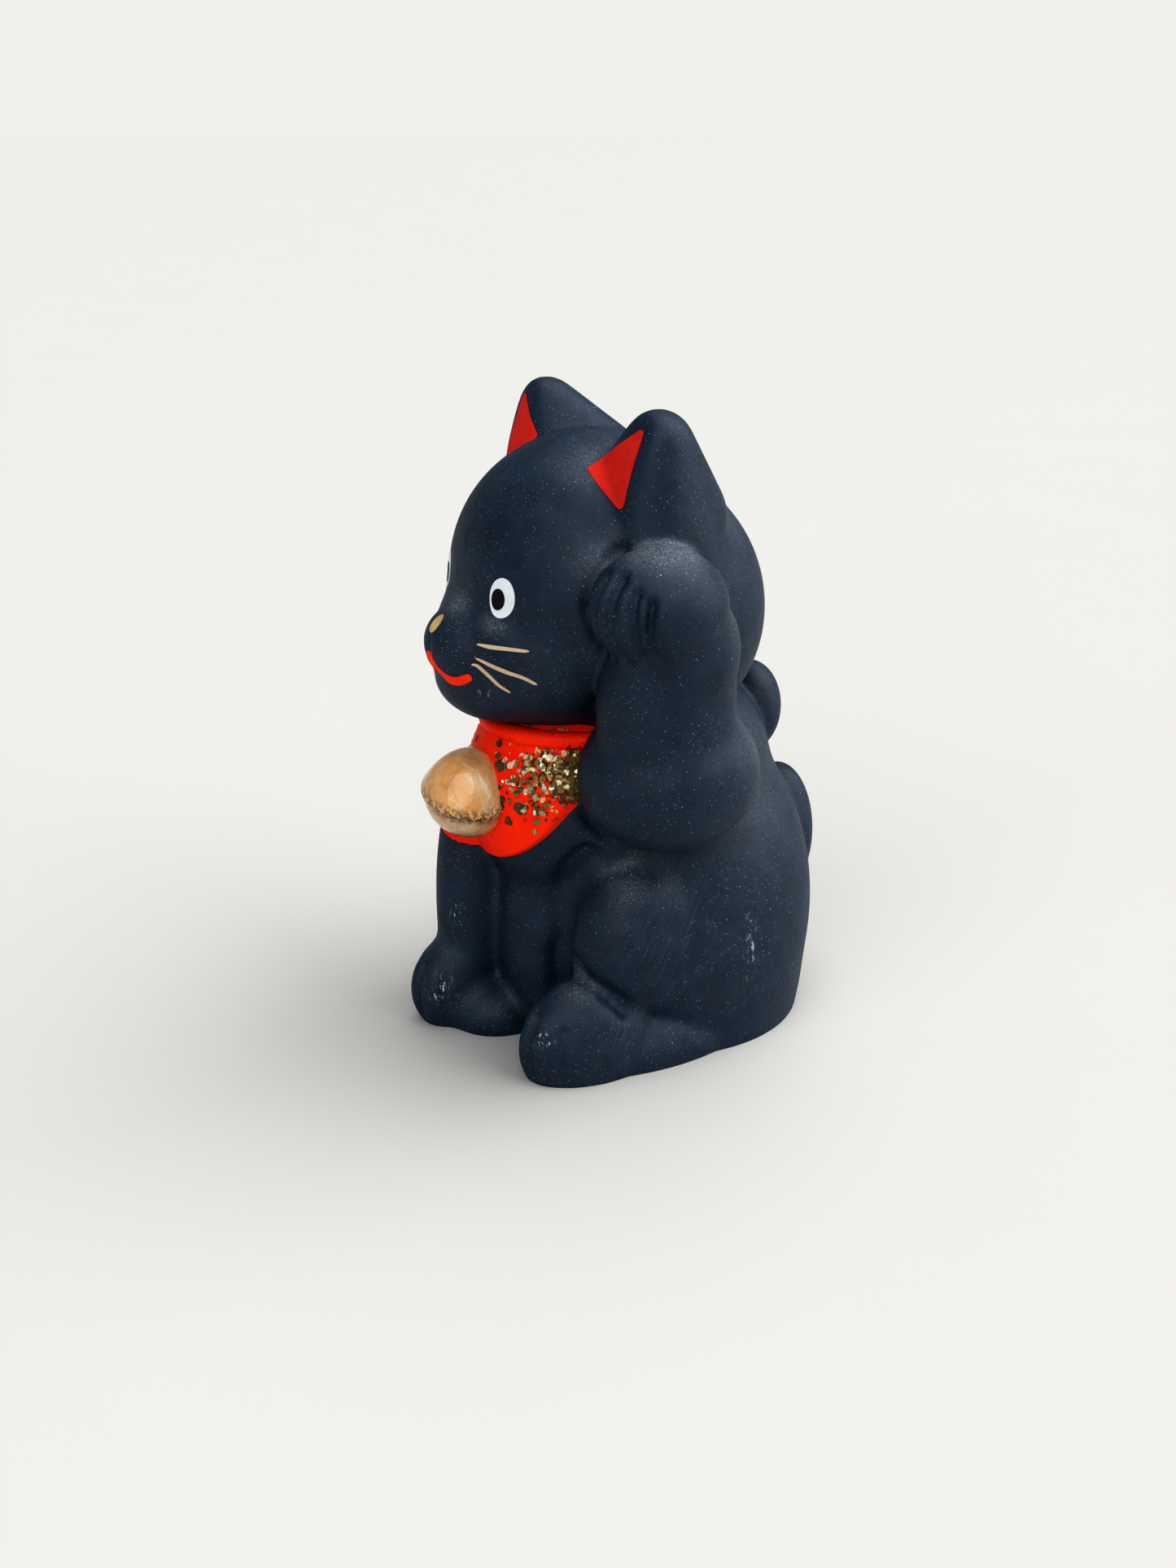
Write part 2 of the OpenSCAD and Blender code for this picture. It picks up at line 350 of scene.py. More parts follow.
class Recipe:
    """Writes a material's or a node group's nodes in short lines."""

    def __init__(self, tree: bpy.types.NodeTree) -> None:
        """Starts on an empty node tree."""
        self.tree = tree
        self.column = 0

    def node(
        self, kind: str, inputs: dict[str | int, object] | None = None, **settings: object
    ) -> bpy.types.Node:
        """Adds a node, sets its properties, then its inputs.

        Args:
            kind: The node's type.
            inputs: Values or sockets by input name or number.
            **settings: Node properties.

        Returns:
            The node.
        """
        made = self.tree.nodes.new(kind)
        made.location = (self.column * 40, 0)
        self.column += 1
        for key, value in settings.items():
            setattr(made, key, value)
        for key, value in (inputs or {}).items():
            if isinstance(value, bpy.types.NodeSocket):
                self.tree.links.new(value, made.inputs[key])
            else:
                made.inputs[key].default_value = value
        return made

    def place(self, scale: Point = (1, 1, 1), turn: Point = (0, 0, 0), at: Point = (0, 0, 0)) -> Socket:
        """Returns object coordinates in millimetres, turned and stretched by a Mapping node."""
        coords = self.node("ShaderNodeTexCoord").outputs["Object"]
        factor = 1.0 / MM
        return self.node(
            "ShaderNodeMapping",
            {
                "Vector": coords,
                "Location": Vector(at),
                "Rotation": Vector([math.radians(a) for a in turn]),
                "Scale": Vector([factor * s for s in scale]),
            },
        ).outputs["Vector"]

    def math(self, operation: str, a: object, b: object = 0.0, clamp: bool = False) -> Socket:
        """Returns a sum, product or other result of two values."""
        return self.node("ShaderNodeMath", {0: a, 1: b}, operation=operation, use_clamp=clamp).outputs[0]

    def ramp(self, value: Socket, low: float, high: float, bottom: float = 0.0, top: float = 1.0) -> Socket:
        """Returns value stretched from low..high to bottom..top and kept inside."""
        return self.node(
            "ShaderNodeMapRange",
            {"Value": value, "From Min": low, "From Max": high, "To Min": bottom, "To Max": top},
            clamp=True,
        ).outputs["Result"]

    def noise(self, where: Socket, scale: float, detail: float = 3.0, rough: float = 0.5) -> Socket:
        """Returns a cloudy value from 0 to 1."""
        return self.node(
            "ShaderNodeTexNoise", {"Vector": where, "Scale": scale, "Detail": detail, "Roughness": rough}
        ).outputs["Fac"]

    def cells(self, where: Socket, scale: float) -> bpy.types.Node:
        """Returns a node of scattered cells, with Distance and Color outputs."""
        return self.node("ShaderNodeTexVoronoi", {"Vector": where, "Scale": scale})

    def mix(self, share: object, low: object, high: object) -> Socket:
        """Returns a colour mixed from low to high by share."""
        made = self.node("ShaderNodeMix", data_type="RGBA")
        for index, value in ((0, share), (6, low), (7, high)):
            if isinstance(value, bpy.types.NodeSocket):
                self.tree.links.new(value, made.inputs[index])
            else:
                made.inputs[index].default_value = value if index == 0 else (*value, 1.0)[:4]
        return made.outputs[2]

    def attribute(self, name: str) -> Socket:
        """Returns a value painted on the mesh."""
        return self.node("ShaderNodeAttribute", attribute_name=name).outputs["Fac"]

    def bump(
        self, height: Socket, distance: float, strength: float = 1.0, normal: Socket | None = None
    ) -> Socket:
        """Returns a normal roughened by a height, distance in millimetres."""
        inputs: dict[str | int, object] = {"Height": height, "Distance": distance * MM, "Strength": strength}
        if normal is not None:
            inputs["Normal"] = normal
        return self.node("ShaderNodeBump", inputs).outputs["Normal"]


class SharedGroup:
    """A node group with named inputs and outputs, built once."""

    name = "group"
    inputs: dict[str, float] = {}
    outputs: tuple[str, ...] = ()

    @classmethod
    def tree(cls) -> bpy.types.NodeTree:
        """Returns the group, building it the first time."""
        found = bpy.data.node_groups.get(cls.name)
        if found is not None:
            return found
        made = bpy.data.node_groups.new(cls.name, "ShaderNodeTree")
        for label, value in cls.inputs.items():
            socket = made.interface.new_socket(label, in_out="INPUT", socket_type="NodeSocketFloat")
            socket.default_value = value
        for label in cls.outputs:
            made.interface.new_socket(label, in_out="OUTPUT", socket_type="NodeSocketFloat")
        recipe = Recipe(made)
        entry = recipe.node("NodeGroupInput")
        results = cls.build(recipe, entry)
        leave = recipe.node("NodeGroupOutput")
        for label, socket in results.items():
            made.links.new(socket, leave.inputs[label])
        return made

    @classmethod
    def build(cls, recipe: Recipe, entry: bpy.types.Node) -> dict[str, Socket]:
        """Writes the group's nodes and returns its results by name."""
        raise NotImplementedError

    @classmethod
    def use(cls, recipe: Recipe, **values: object) -> bpy.types.Node:
        """Places the group in a material with its own values."""
        made = recipe.node("ShaderNodeGroup", node_tree=cls.tree())
        for label, value in values.items():
            socket = made.inputs[label.replace("_", " ")]
            if isinstance(value, bpy.types.NodeSocket):
                recipe.tree.links.new(value, socket)
            else:
                socket.default_value = value
        return made


class DustSpecks(SharedGroup):
    """Fine pale specks of dust and lint, thicker where clouds of dust lie."""

    name = "dust_specks"
    inputs = {"amount": 0.5, "size": 1.0, "clouds": 0.5}
    outputs = ("specks", "haze")

    @classmethod
    def build(cls, recipe: Recipe, entry: bpy.types.Node) -> dict[str, Socket]:
        """Writes three sizes of specks and a soft haze."""
        where = recipe.place()
        cloud = recipe.noise(where, 0.17, 3.0)
        gate = recipe.ramp(cloud, 0.38, 0.72)
        total = None
        for scale, radius, keep in ((3.4, 0.20, 0.62), (1.9, 0.14, 0.74), (0.8, 0.085, 0.84)):
            cell = recipe.cells(where, scale)
            reach = recipe.math("MULTIPLY", entry.outputs["size"], radius)
            dot = recipe.ramp(recipe.math("DIVIDE", cell.outputs["Distance"], reach), 1.0, 0.5)
            pick = recipe.node("ShaderNodeSeparateColor", {"Color": cell.outputs["Color"]})
            level = recipe.math("MULTIPLY", entry.outputs["amount"], recipe.math("ADD", gate, 0.18))
            level = recipe.math("ADD", pick.outputs["Red"], recipe.math("MULTIPLY", level, 0.42))
            dot = recipe.math("MULTIPLY", dot, recipe.math("GREATER_THAN", level, keep + 0.3))
            dot = recipe.math("MULTIPLY", dot, recipe.ramp(pick.outputs["Green"], 0.0, 1.0, 0.25, 0.9))
            total = dot if total is None else recipe.math("MAXIMUM", total, dot)
        haze = recipe.math("MULTIPLY", recipe.ramp(recipe.noise(where, 1.1, 5.0, 0.7), 0.42, 0.85), gate)
        haze = recipe.math("MULTIPLY", haze, entry.outputs["clouds"])
        return {"specks": total, "haze": haze}


class BrushMarks(SharedGroup):
    """Fine parallel marks of a dry brush, given as a height."""

    name = "brush_marks"
    inputs = {"tilt": 0.0, "fineness": 1.0}
    outputs = ("height",)

    @classmethod
    def build(cls, recipe: Recipe, entry: bpy.types.Node) -> dict[str, Socket]:
        """Writes noise stretched along one direction across the cat's side."""
        where = recipe.place()
        turned = recipe.node(
            "ShaderNodeVectorRotate",
            {"Vector": where, "Axis": Vector((1, 0, 0)), "Angle": entry.outputs["tilt"]},
            rotation_type="AXIS_ANGLE",
        ).outputs["Vector"]
        across = recipe.node(
            "ShaderNodeVectorMath", {0: turned, 1: Vector((0.5, 3.6, 0.16))}, operation="MULTIPLY"
        )
        scaled = recipe.node(
            "ShaderNodeVectorMath",
            {0: across.outputs[0], "Scale": entry.outputs["fineness"]},
            operation="SCALE",
        )
        return {"height": recipe.noise(scaled.outputs[0], 1.0, 3.0, 0.6)}


# ---------------------------------------------------------------------------------------------
# Finishes
# ---------------------------------------------------------------------------------------------


def new_material(name: str) -> tuple[bpy.types.Material, Recipe, bpy.types.Node]:
    """Starts a material.

    Args:
        name: Name of the material.

    Returns:
        The material, its recipe and its Principled shader.
    """
    material = bpy.data.materials.new(name)
    material.use_nodes = True
    recipe = Recipe(material.node_tree)
    shader = material.node_tree.nodes["Principled BSDF"]
    return material, recipe, shader


@dataclass(frozen=True)
class MattBlack:
    """Matt blue-black paint over fired clay, with dust, painted highlight, brush marks and pale scuffs."""

    name: str = "matt_black_clay"
    colour: Point = (0.0130, 0.0310, 0.0560)
    # The pale tones serve dust and painted highlight alike.
    haze_and_highlight_colour: Point = (0.135, 0.155, 0.180)
    dust_and_highlight_colour: Point = (0.48, 0.52, 0.56)
    roughness: float = 0.52
    specks: float = 1.05
    tilt: float = 0.5

    def build(self) -> bpy.types.Material:
        """Returns the material. It reads the dust-and-highlight, brush and scuff values painted on the mesh;
        the first lightens the clay with dust and with painted highlight.
        """
        material, recipe, shader = new_material(self.name)
        where = recipe.place()
        dust_and_highlight = recipe.attribute("dust_and_highlight")
        brush = recipe.attribute("brush")
        scuff = recipe.attribute("scuff")
        grains = DustSpecks.use(recipe, amount=self.specks, size=1.0, clouds=0.5)
        marks = BrushMarks.use(recipe, tilt=self.tilt, fineness=1.0)

        mottle = recipe.ramp(recipe.noise(where, 0.35, 4.0), 0.3, 0.75)
        base = recipe.mix(mottle, tuple(c * 0.8 for c in self.colour), tuple(c * 1.25 for c in self.colour))
        patchy = recipe.ramp(recipe.noise(where, 2.6, 6.0, 0.75), 0.34, 0.7)
        # Painted highlight and dust: the dust-and-highlight value lays a pale veil over the clay.
        dust_and_highlight_veil = recipe.math("MULTIPLY", dust_and_highlight, recipe.math("ADD", patchy, 0.15), clamp=True)
        veil = recipe.math("ADD", dust_and_highlight_veil, recipe.math("MULTIPLY", grains.outputs["haze"], 0.2), clamp=True)
        streak = recipe.math("MULTIPLY", recipe.ramp(marks.outputs["height"], 0.5, 0.72), brush)
        veil = recipe.math("ADD", veil, recipe.math("MULTIPLY", streak, 0.22), clamp=True)
        colour = recipe.mix(veil, base, self.haze_and_highlight_colour)
        fine = recipe.ramp(recipe.noise(where, 6.5, 3.0, 0.7), 0.55, 0.68)
        # Fine pale flecks where that value is high: dust, and painted highlight.
        dust_and_highlight_flecks = recipe.math("MULTIPLY", recipe.math("MULTIPLY", fine, dust_and_highlight), 0.8)
        colour = recipe.mix(dust_and_highlight_flecks, colour, self.dust_and_highlight_colour)
        torn = recipe.ramp(recipe.noise(recipe.place(scale=(1.0, 1.0, 0.5)), 2.0, 6.0, 0.78), 0.565, 0.60)
        rubbed = recipe.math("MULTIPLY", torn, scuff, clamp=True)
        pale = recipe.math("MAXIMUM", grains.outputs["specks"], rubbed)
        colour = recipe.mix(pale, colour, self.dust_and_highlight_colour)
        recipe.tree.links.new(colour, shader.inputs["Base Color"])

        uneven = recipe.math("MULTIPLY", recipe.noise(where, 1.7, 4.0), 0.16)
        rough = recipe.math("ADD", uneven, self.roughness - 0.08)
        rough = recipe.math("ADD", rough, recipe.math("MULTIPLY", veil, 0.2), clamp=True)
        recipe.tree.links.new(rough, shader.inputs["Roughness"])

        grain = recipe.math("MULTIPLY", recipe.noise(where, 3.8, 5.0, 0.65), 0.42)
        grain = recipe.math("ADD", grain, recipe.math("MULTIPLY", recipe.noise(where, 0.42, 3.0), 1.6))
        stroke = recipe.math("MULTIPLY", marks.outputs["height"], brush)
        grain = recipe.math("ADD", grain, recipe.math("MULTIPLY", stroke, 1.5))
        grain = recipe.math("ADD", grain, recipe.math("MULTIPLY", grains.outputs["specks"], 0.4))
        recipe.tree.links.new(recipe.bump(grain, 0.09), shader.inputs["Normal"])
        shader.inputs["Specular IOR Level"].default_value = 0.5
        return material


@dataclass(frozen=True)
class BrushedPaint:
    """A film of water-based paint with soft brush marks, a mottled tone and small pits."""

    name: str
    colour: Point
    shade: Point
    roughness: float = 0.5
    specular: float = 0.15
    grain: float = 0.03

    def build(self) -> bpy.types.Material:
        """Returns the material."""
        material, recipe, shader = new_material(self.name)
        where = recipe.place()
        tone = recipe.ramp(recipe.noise(where, 0.45, 4.0, 0.6), 0.3, 0.72)
        colour = recipe.mix(tone, self.shade, self.colour)
        grains = DustSpecks.use(recipe, amount=0.18, size=0.8, clouds=0.2)
        colour = recipe.mix(recipe.math("MULTIPLY", grains.outputs["specks"], 0.5), colour, (0.75, 0.66, 0.6))
        recipe.tree.links.new(colour, shader.inputs["Base Color"])
        uneven = recipe.math("MULTIPLY", recipe.noise(where, 1.4, 4.0), 0.2)
        rough = recipe.math("ADD", uneven, self.roughness - 0.1)
        recipe.tree.links.new(rough, shader.inputs["Roughness"])
        strokes = recipe.noise(recipe.place(scale=(3.0, 1.0, 0.6)), 1.2, 4.0, 0.6)
        recipe.tree.links.new(recipe.bump(strokes, self.grain), shader.inputs["Normal"])
        shader.inputs["Specular IOR Level"].default_value = self.specular
        return material


@dataclass(frozen=True)
class BibRed:
    """Orange-red satin paint on the bib, stained with worn leaf where the mesh's crust value is high."""

    name: str = "bib_red"
    colour: Point = (0.88, 0.055, 0.004)
    shade: Point = (0.80, 0.030, 0.003)
    crust: Point = (0.20, 0.135, 0.05)
    crust_dark: Point = (0.055, 0.04, 0.02)

    def build(self) -> bpy.types.Material:
        """Returns the material. It reads the crust value painted on the mesh."""
        material, recipe, shader = new_material(self.name)
        where = recipe.place()
        tone = recipe.ramp(recipe.noise(where, 0.3, 4.0, 0.6), 0.3, 0.72)
        colour = recipe.mix(tone, self.shade, self.colour)
        crust = recipe.attribute("crust")
        edge = recipe.noise(where, 1.3, 5.0, 0.7)
        gate = recipe.ramp(recipe.math("ADD", crust, recipe.math("MULTIPLY", edge, 0.9)), 0.98, 1.04)
        tarnish = recipe.ramp(recipe.noise(where, 2.8, 4.0, 0.7), 0.4, 0.6)
        leaf = recipe.mix(tarnish, self.crust_dark, self.crust)
        colour = recipe.mix(gate, colour, leaf)
        pits = recipe.cells(where, 1.1)
        pit = recipe.ramp(pits.outputs["Distance"], 0.16, 0.08)
        picked = recipe.node("ShaderNodeSeparateColor", {"Color": pits.outputs["Color"]}).outputs["Green"]
        pit = recipe.math("MULTIPLY", pit, recipe.math("GREATER_THAN", picked, 0.75))
        colour = recipe.mix(recipe.math("MULTIPLY", pit, 0.7), colour, (0.16, 0.03, 0.02))
        recipe.tree.links.new(colour, shader.inputs["Base Color"])
        rough = recipe.math("ADD", recipe.math("MULTIPLY", recipe.noise(where, 1.2, 4.0), 0.2), 0.36)
        recipe.tree.links.new(rough, shader.inputs["Roughness"])
        height = recipe.math("ADD", recipe.noise(where, 0.9, 5.0, 0.65), recipe.math("MULTIPLY", gate, 1.5))
        height = recipe.math("SUBTRACT", height, pit)
        recipe.tree.links.new(recipe.bump(height, 0.06), shader.inputs["Normal"])
        shader.inputs["Specular IOR Level"].default_value = 0.2
        return material


@dataclass(frozen=True)
class BellVarnish:
    """Amber paint worn to pearly cream under clear varnish, with brown specks along the rim."""

    name: str = "bell_varnish"
    amber: Point = (0.60, 0.32, 0.11)
    pearl: Point = (0.66, 0.50, 0.33)
    brown: Point = (0.20, 0.11, 0.035)
    smoke_brown: Point = (0.34, 0.2, 0.1)
    relief: float = 0.28
    specular: float = 0.6
    coat: float = 0.8
    coat_roughness: float = 0.06

    def build(self) -> bpy.types.Material:
        """Returns the material. It reads the rim value painted on the mesh."""
        material, recipe, shader = new_material(self.name)
        where = recipe.place()
        tone = recipe.ramp(recipe.noise(where, 0.22, 4.0, 0.6), 0.36, 0.64)
        colour = recipe.mix(tone, self.amber, self.pearl)
        smoke = recipe.ramp(recipe.noise(recipe.place(at=(7.0, 2.0, 3.0)), 0.35, 3.0), 0.52, 0.75)
        colour = recipe.mix(recipe.math("MULTIPLY", smoke, 0.5), colour, self.smoke_brown)
        rim = recipe.attribute("rim")
        specks = recipe.ramp(recipe.noise(where, 2.2, 5.0, 0.75), 0.47, 0.58)
        marks = recipe.math("MULTIPLY", specks, rim, clamp=True)
        colour = recipe.mix(marks, colour, self.brown)
        recipe.tree.links.new(colour, shader.inputs["Base Color"])
        rough = recipe.math("ADD", recipe.math("MULTIPLY", recipe.noise(where, 1.2, 4.0), 0.22), 0.08)
        recipe.tree.links.new(rough, shader.inputs["Roughness"])
        height = recipe.math("ADD", recipe.noise(where, 0.55, 4.0, 0.6), recipe.math("MULTIPLY", marks, 0.4))
        recipe.tree.links.new(recipe.bump(height, self.relief), shader.inputs["Normal"])
        shader.inputs["Specular IOR Level"].default_value = self.specular
        shader.inputs["Coat Weight"].default_value = self.coat
        shader.inputs["Coat Roughness"].default_value = self.coat_roughness
        return material


@dataclass(frozen=True)
class WornLeaf:
    """Brass leaf, bright, olive or tarnished grey-brown from flake to flake."""

    name: str = "worn_leaf"

    def build(self) -> bpy.types.Material:
        """Returns the material. It reads each flake's tint painted on the mesh."""
        material, recipe, shader = new_material(self.name)
        where = recipe.place()
        tint = recipe.attribute("tint")
        ramp = recipe.node("ShaderNodeValToRGB", {"Fac": tint})
        stops = ((0.0, (0.08, 0.045, 0.02)), (0.22, (0.14, 0.09, 0.04)), (0.45, (0.34, 0.24, 0.09)),
                 (0.65, (0.55, 0.41, 0.19)), (0.82, (0.72, 0.60, 0.42)), (1.0, (0.82, 0.76, 0.66)))
        band = ramp.color_ramp
        for index, (place, colour) in enumerate(stops):
            stop = band.elements[index] if index < 2 else band.elements.new(place)
            stop.position = place
            stop.color = (*colour, 1.0)
        worn = recipe.ramp(recipe.noise(where, 3.5, 4.0, 0.7), 0.4, 0.7)
        colour = recipe.mix(recipe.math("MULTIPLY", worn, 0.4), ramp.outputs["Color"], (0.1, 0.07, 0.04))
        recipe.tree.links.new(colour, shader.inputs["Base Color"])
        metal = recipe.ramp(tint, 0.3, 0.6, 0.15, 0.75)
        recipe.tree.links.new(metal, shader.inputs["Metallic"])
        rough = recipe.math("ADD", recipe.math("MULTIPLY", worn, 0.25), 0.34)
        recipe.tree.links.new(rough, shader.inputs["Roughness"])
        recipe.tree.links.new(recipe.bump(recipe.noise(where, 5.0, 3.0), 0.04), shader.inputs["Normal"])
        return material


@dataclass(frozen=True)
class PalePaper:
    """Plain pale paper for the floor."""

    name: str
    colour: Point
    roughness: float = 0.75

    def build(self) -> bpy.types.Material:
        """Returns the material."""
        material, recipe, shader = new_material(self.name)
        tone = recipe.noise(recipe.place(), 0.02, 3.0)
        colour = recipe.mix(tone, tuple(c * 0.985 for c in self.colour), self.colour)
        recipe.tree.links.new(colour, shader.inputs["Base Color"])
        shader.inputs["Roughness"].default_value = self.roughness
        shader.inputs["Specular IOR Level"].default_value = 0.2
        return material


def dress(piece: bpy.types.Object, material: bpy.types.Material) -> None:
    """Gives a piece one material."""
    piece.data.materials.clear()
    piece.data.materials.append(material)


# ---------------------------------------------------------------------------------------------
# The clay figure
# ---------------------------------------------------------------------------------------------


@dataclass(frozen=True)
class Patch:
    """A round patch of dust, painted highlight, brush marks or scuffs on the clay, in millimetres."""

    at: Point
    reach: Point
    strength: float
    facing: Point | None = None


def lay_patches(points: np.ndarray, normals: np.ndarray, patches: Sequence[Patch]) -> np.ndarray:
    """Adds up soft patches over a skin.

    Args:
        points: N x 3 places in millimetres.
        normals: N x 3 unit normals.
        patches: The patches.

    Returns:
        N values from 0 to 1.
    """
    total = np.zeros(len(points))
    for patch in patches:
        away = (points - np.array(patch.at)) / np.array(patch.reach)
        value = patch.strength * np.exp(-np.sum(away**2, axis=1))
        # A facing brightens skin turned that way: dust on upward faces, painted highlight on faces turned to
        # the light.
        if patch.facing is not None:
            toward = np.array(patch.facing) / np.linalg.norm(patch.facing)
            value *= np.clip(normals @ toward * 1.6 - 0.3, 0.0, 1.0)
        total = np.maximum(total, value)
    return np.clip(total, 0.0, 1.0)


def paint_value(piece: bpy.types.Object, name: str, values: np.ndarray) -> None:
    """Stores one value a vertex on a piece."""
    layer = piece.data.attributes.get(name) or piece.data.attributes.new(name, "FLOAT", "POINT")
    layer.data.foreach_set("value", values.astype(np.float32))


def normals_of(piece: bpy.types.Object) -> np.ndarray:
    """Returns a piece's vertex normals."""
    flat = np.empty(len(piece.data.vertices) * 3)
    piece.data.vertex_normals.foreach_get("vector", flat)
    return flat.reshape(-1, 3)


@dataclass(frozen=True)
class Groove:
    """A groove pressed along a path of points, in millimetres."""

    path: tuple[Point, ...]
    width: float
    depth: float
    mirrored: bool = False

    def paths(self) -> list[np.ndarray]:
        """Returns the path and, if the cat has the groove on both sides, its mirror image."""
        first = np.array(self.path, dtype=float)
        return [first, first * np.array([-1.0, 1.0, 1.0])] if self.mirrored else [first]


def path_distance(points: np.ndarray, path: np.ndarray) -> np.ndarray:
    """Returns each point's distance to a path of straight steps.

    Args:
        points: N x 3 places.
        path: M x 3 corners of the path.
    """
    best = np.full(len(points), np.inf)
    for start, end in zip(path, path[1:]):
        step = end - start
        share = np.clip((points - start) @ step / (step @ step), 0.0, 1.0)
        best = np.minimum(best, np.linalg.norm(points - (start + share[:, None] * step), axis=1))
    return best


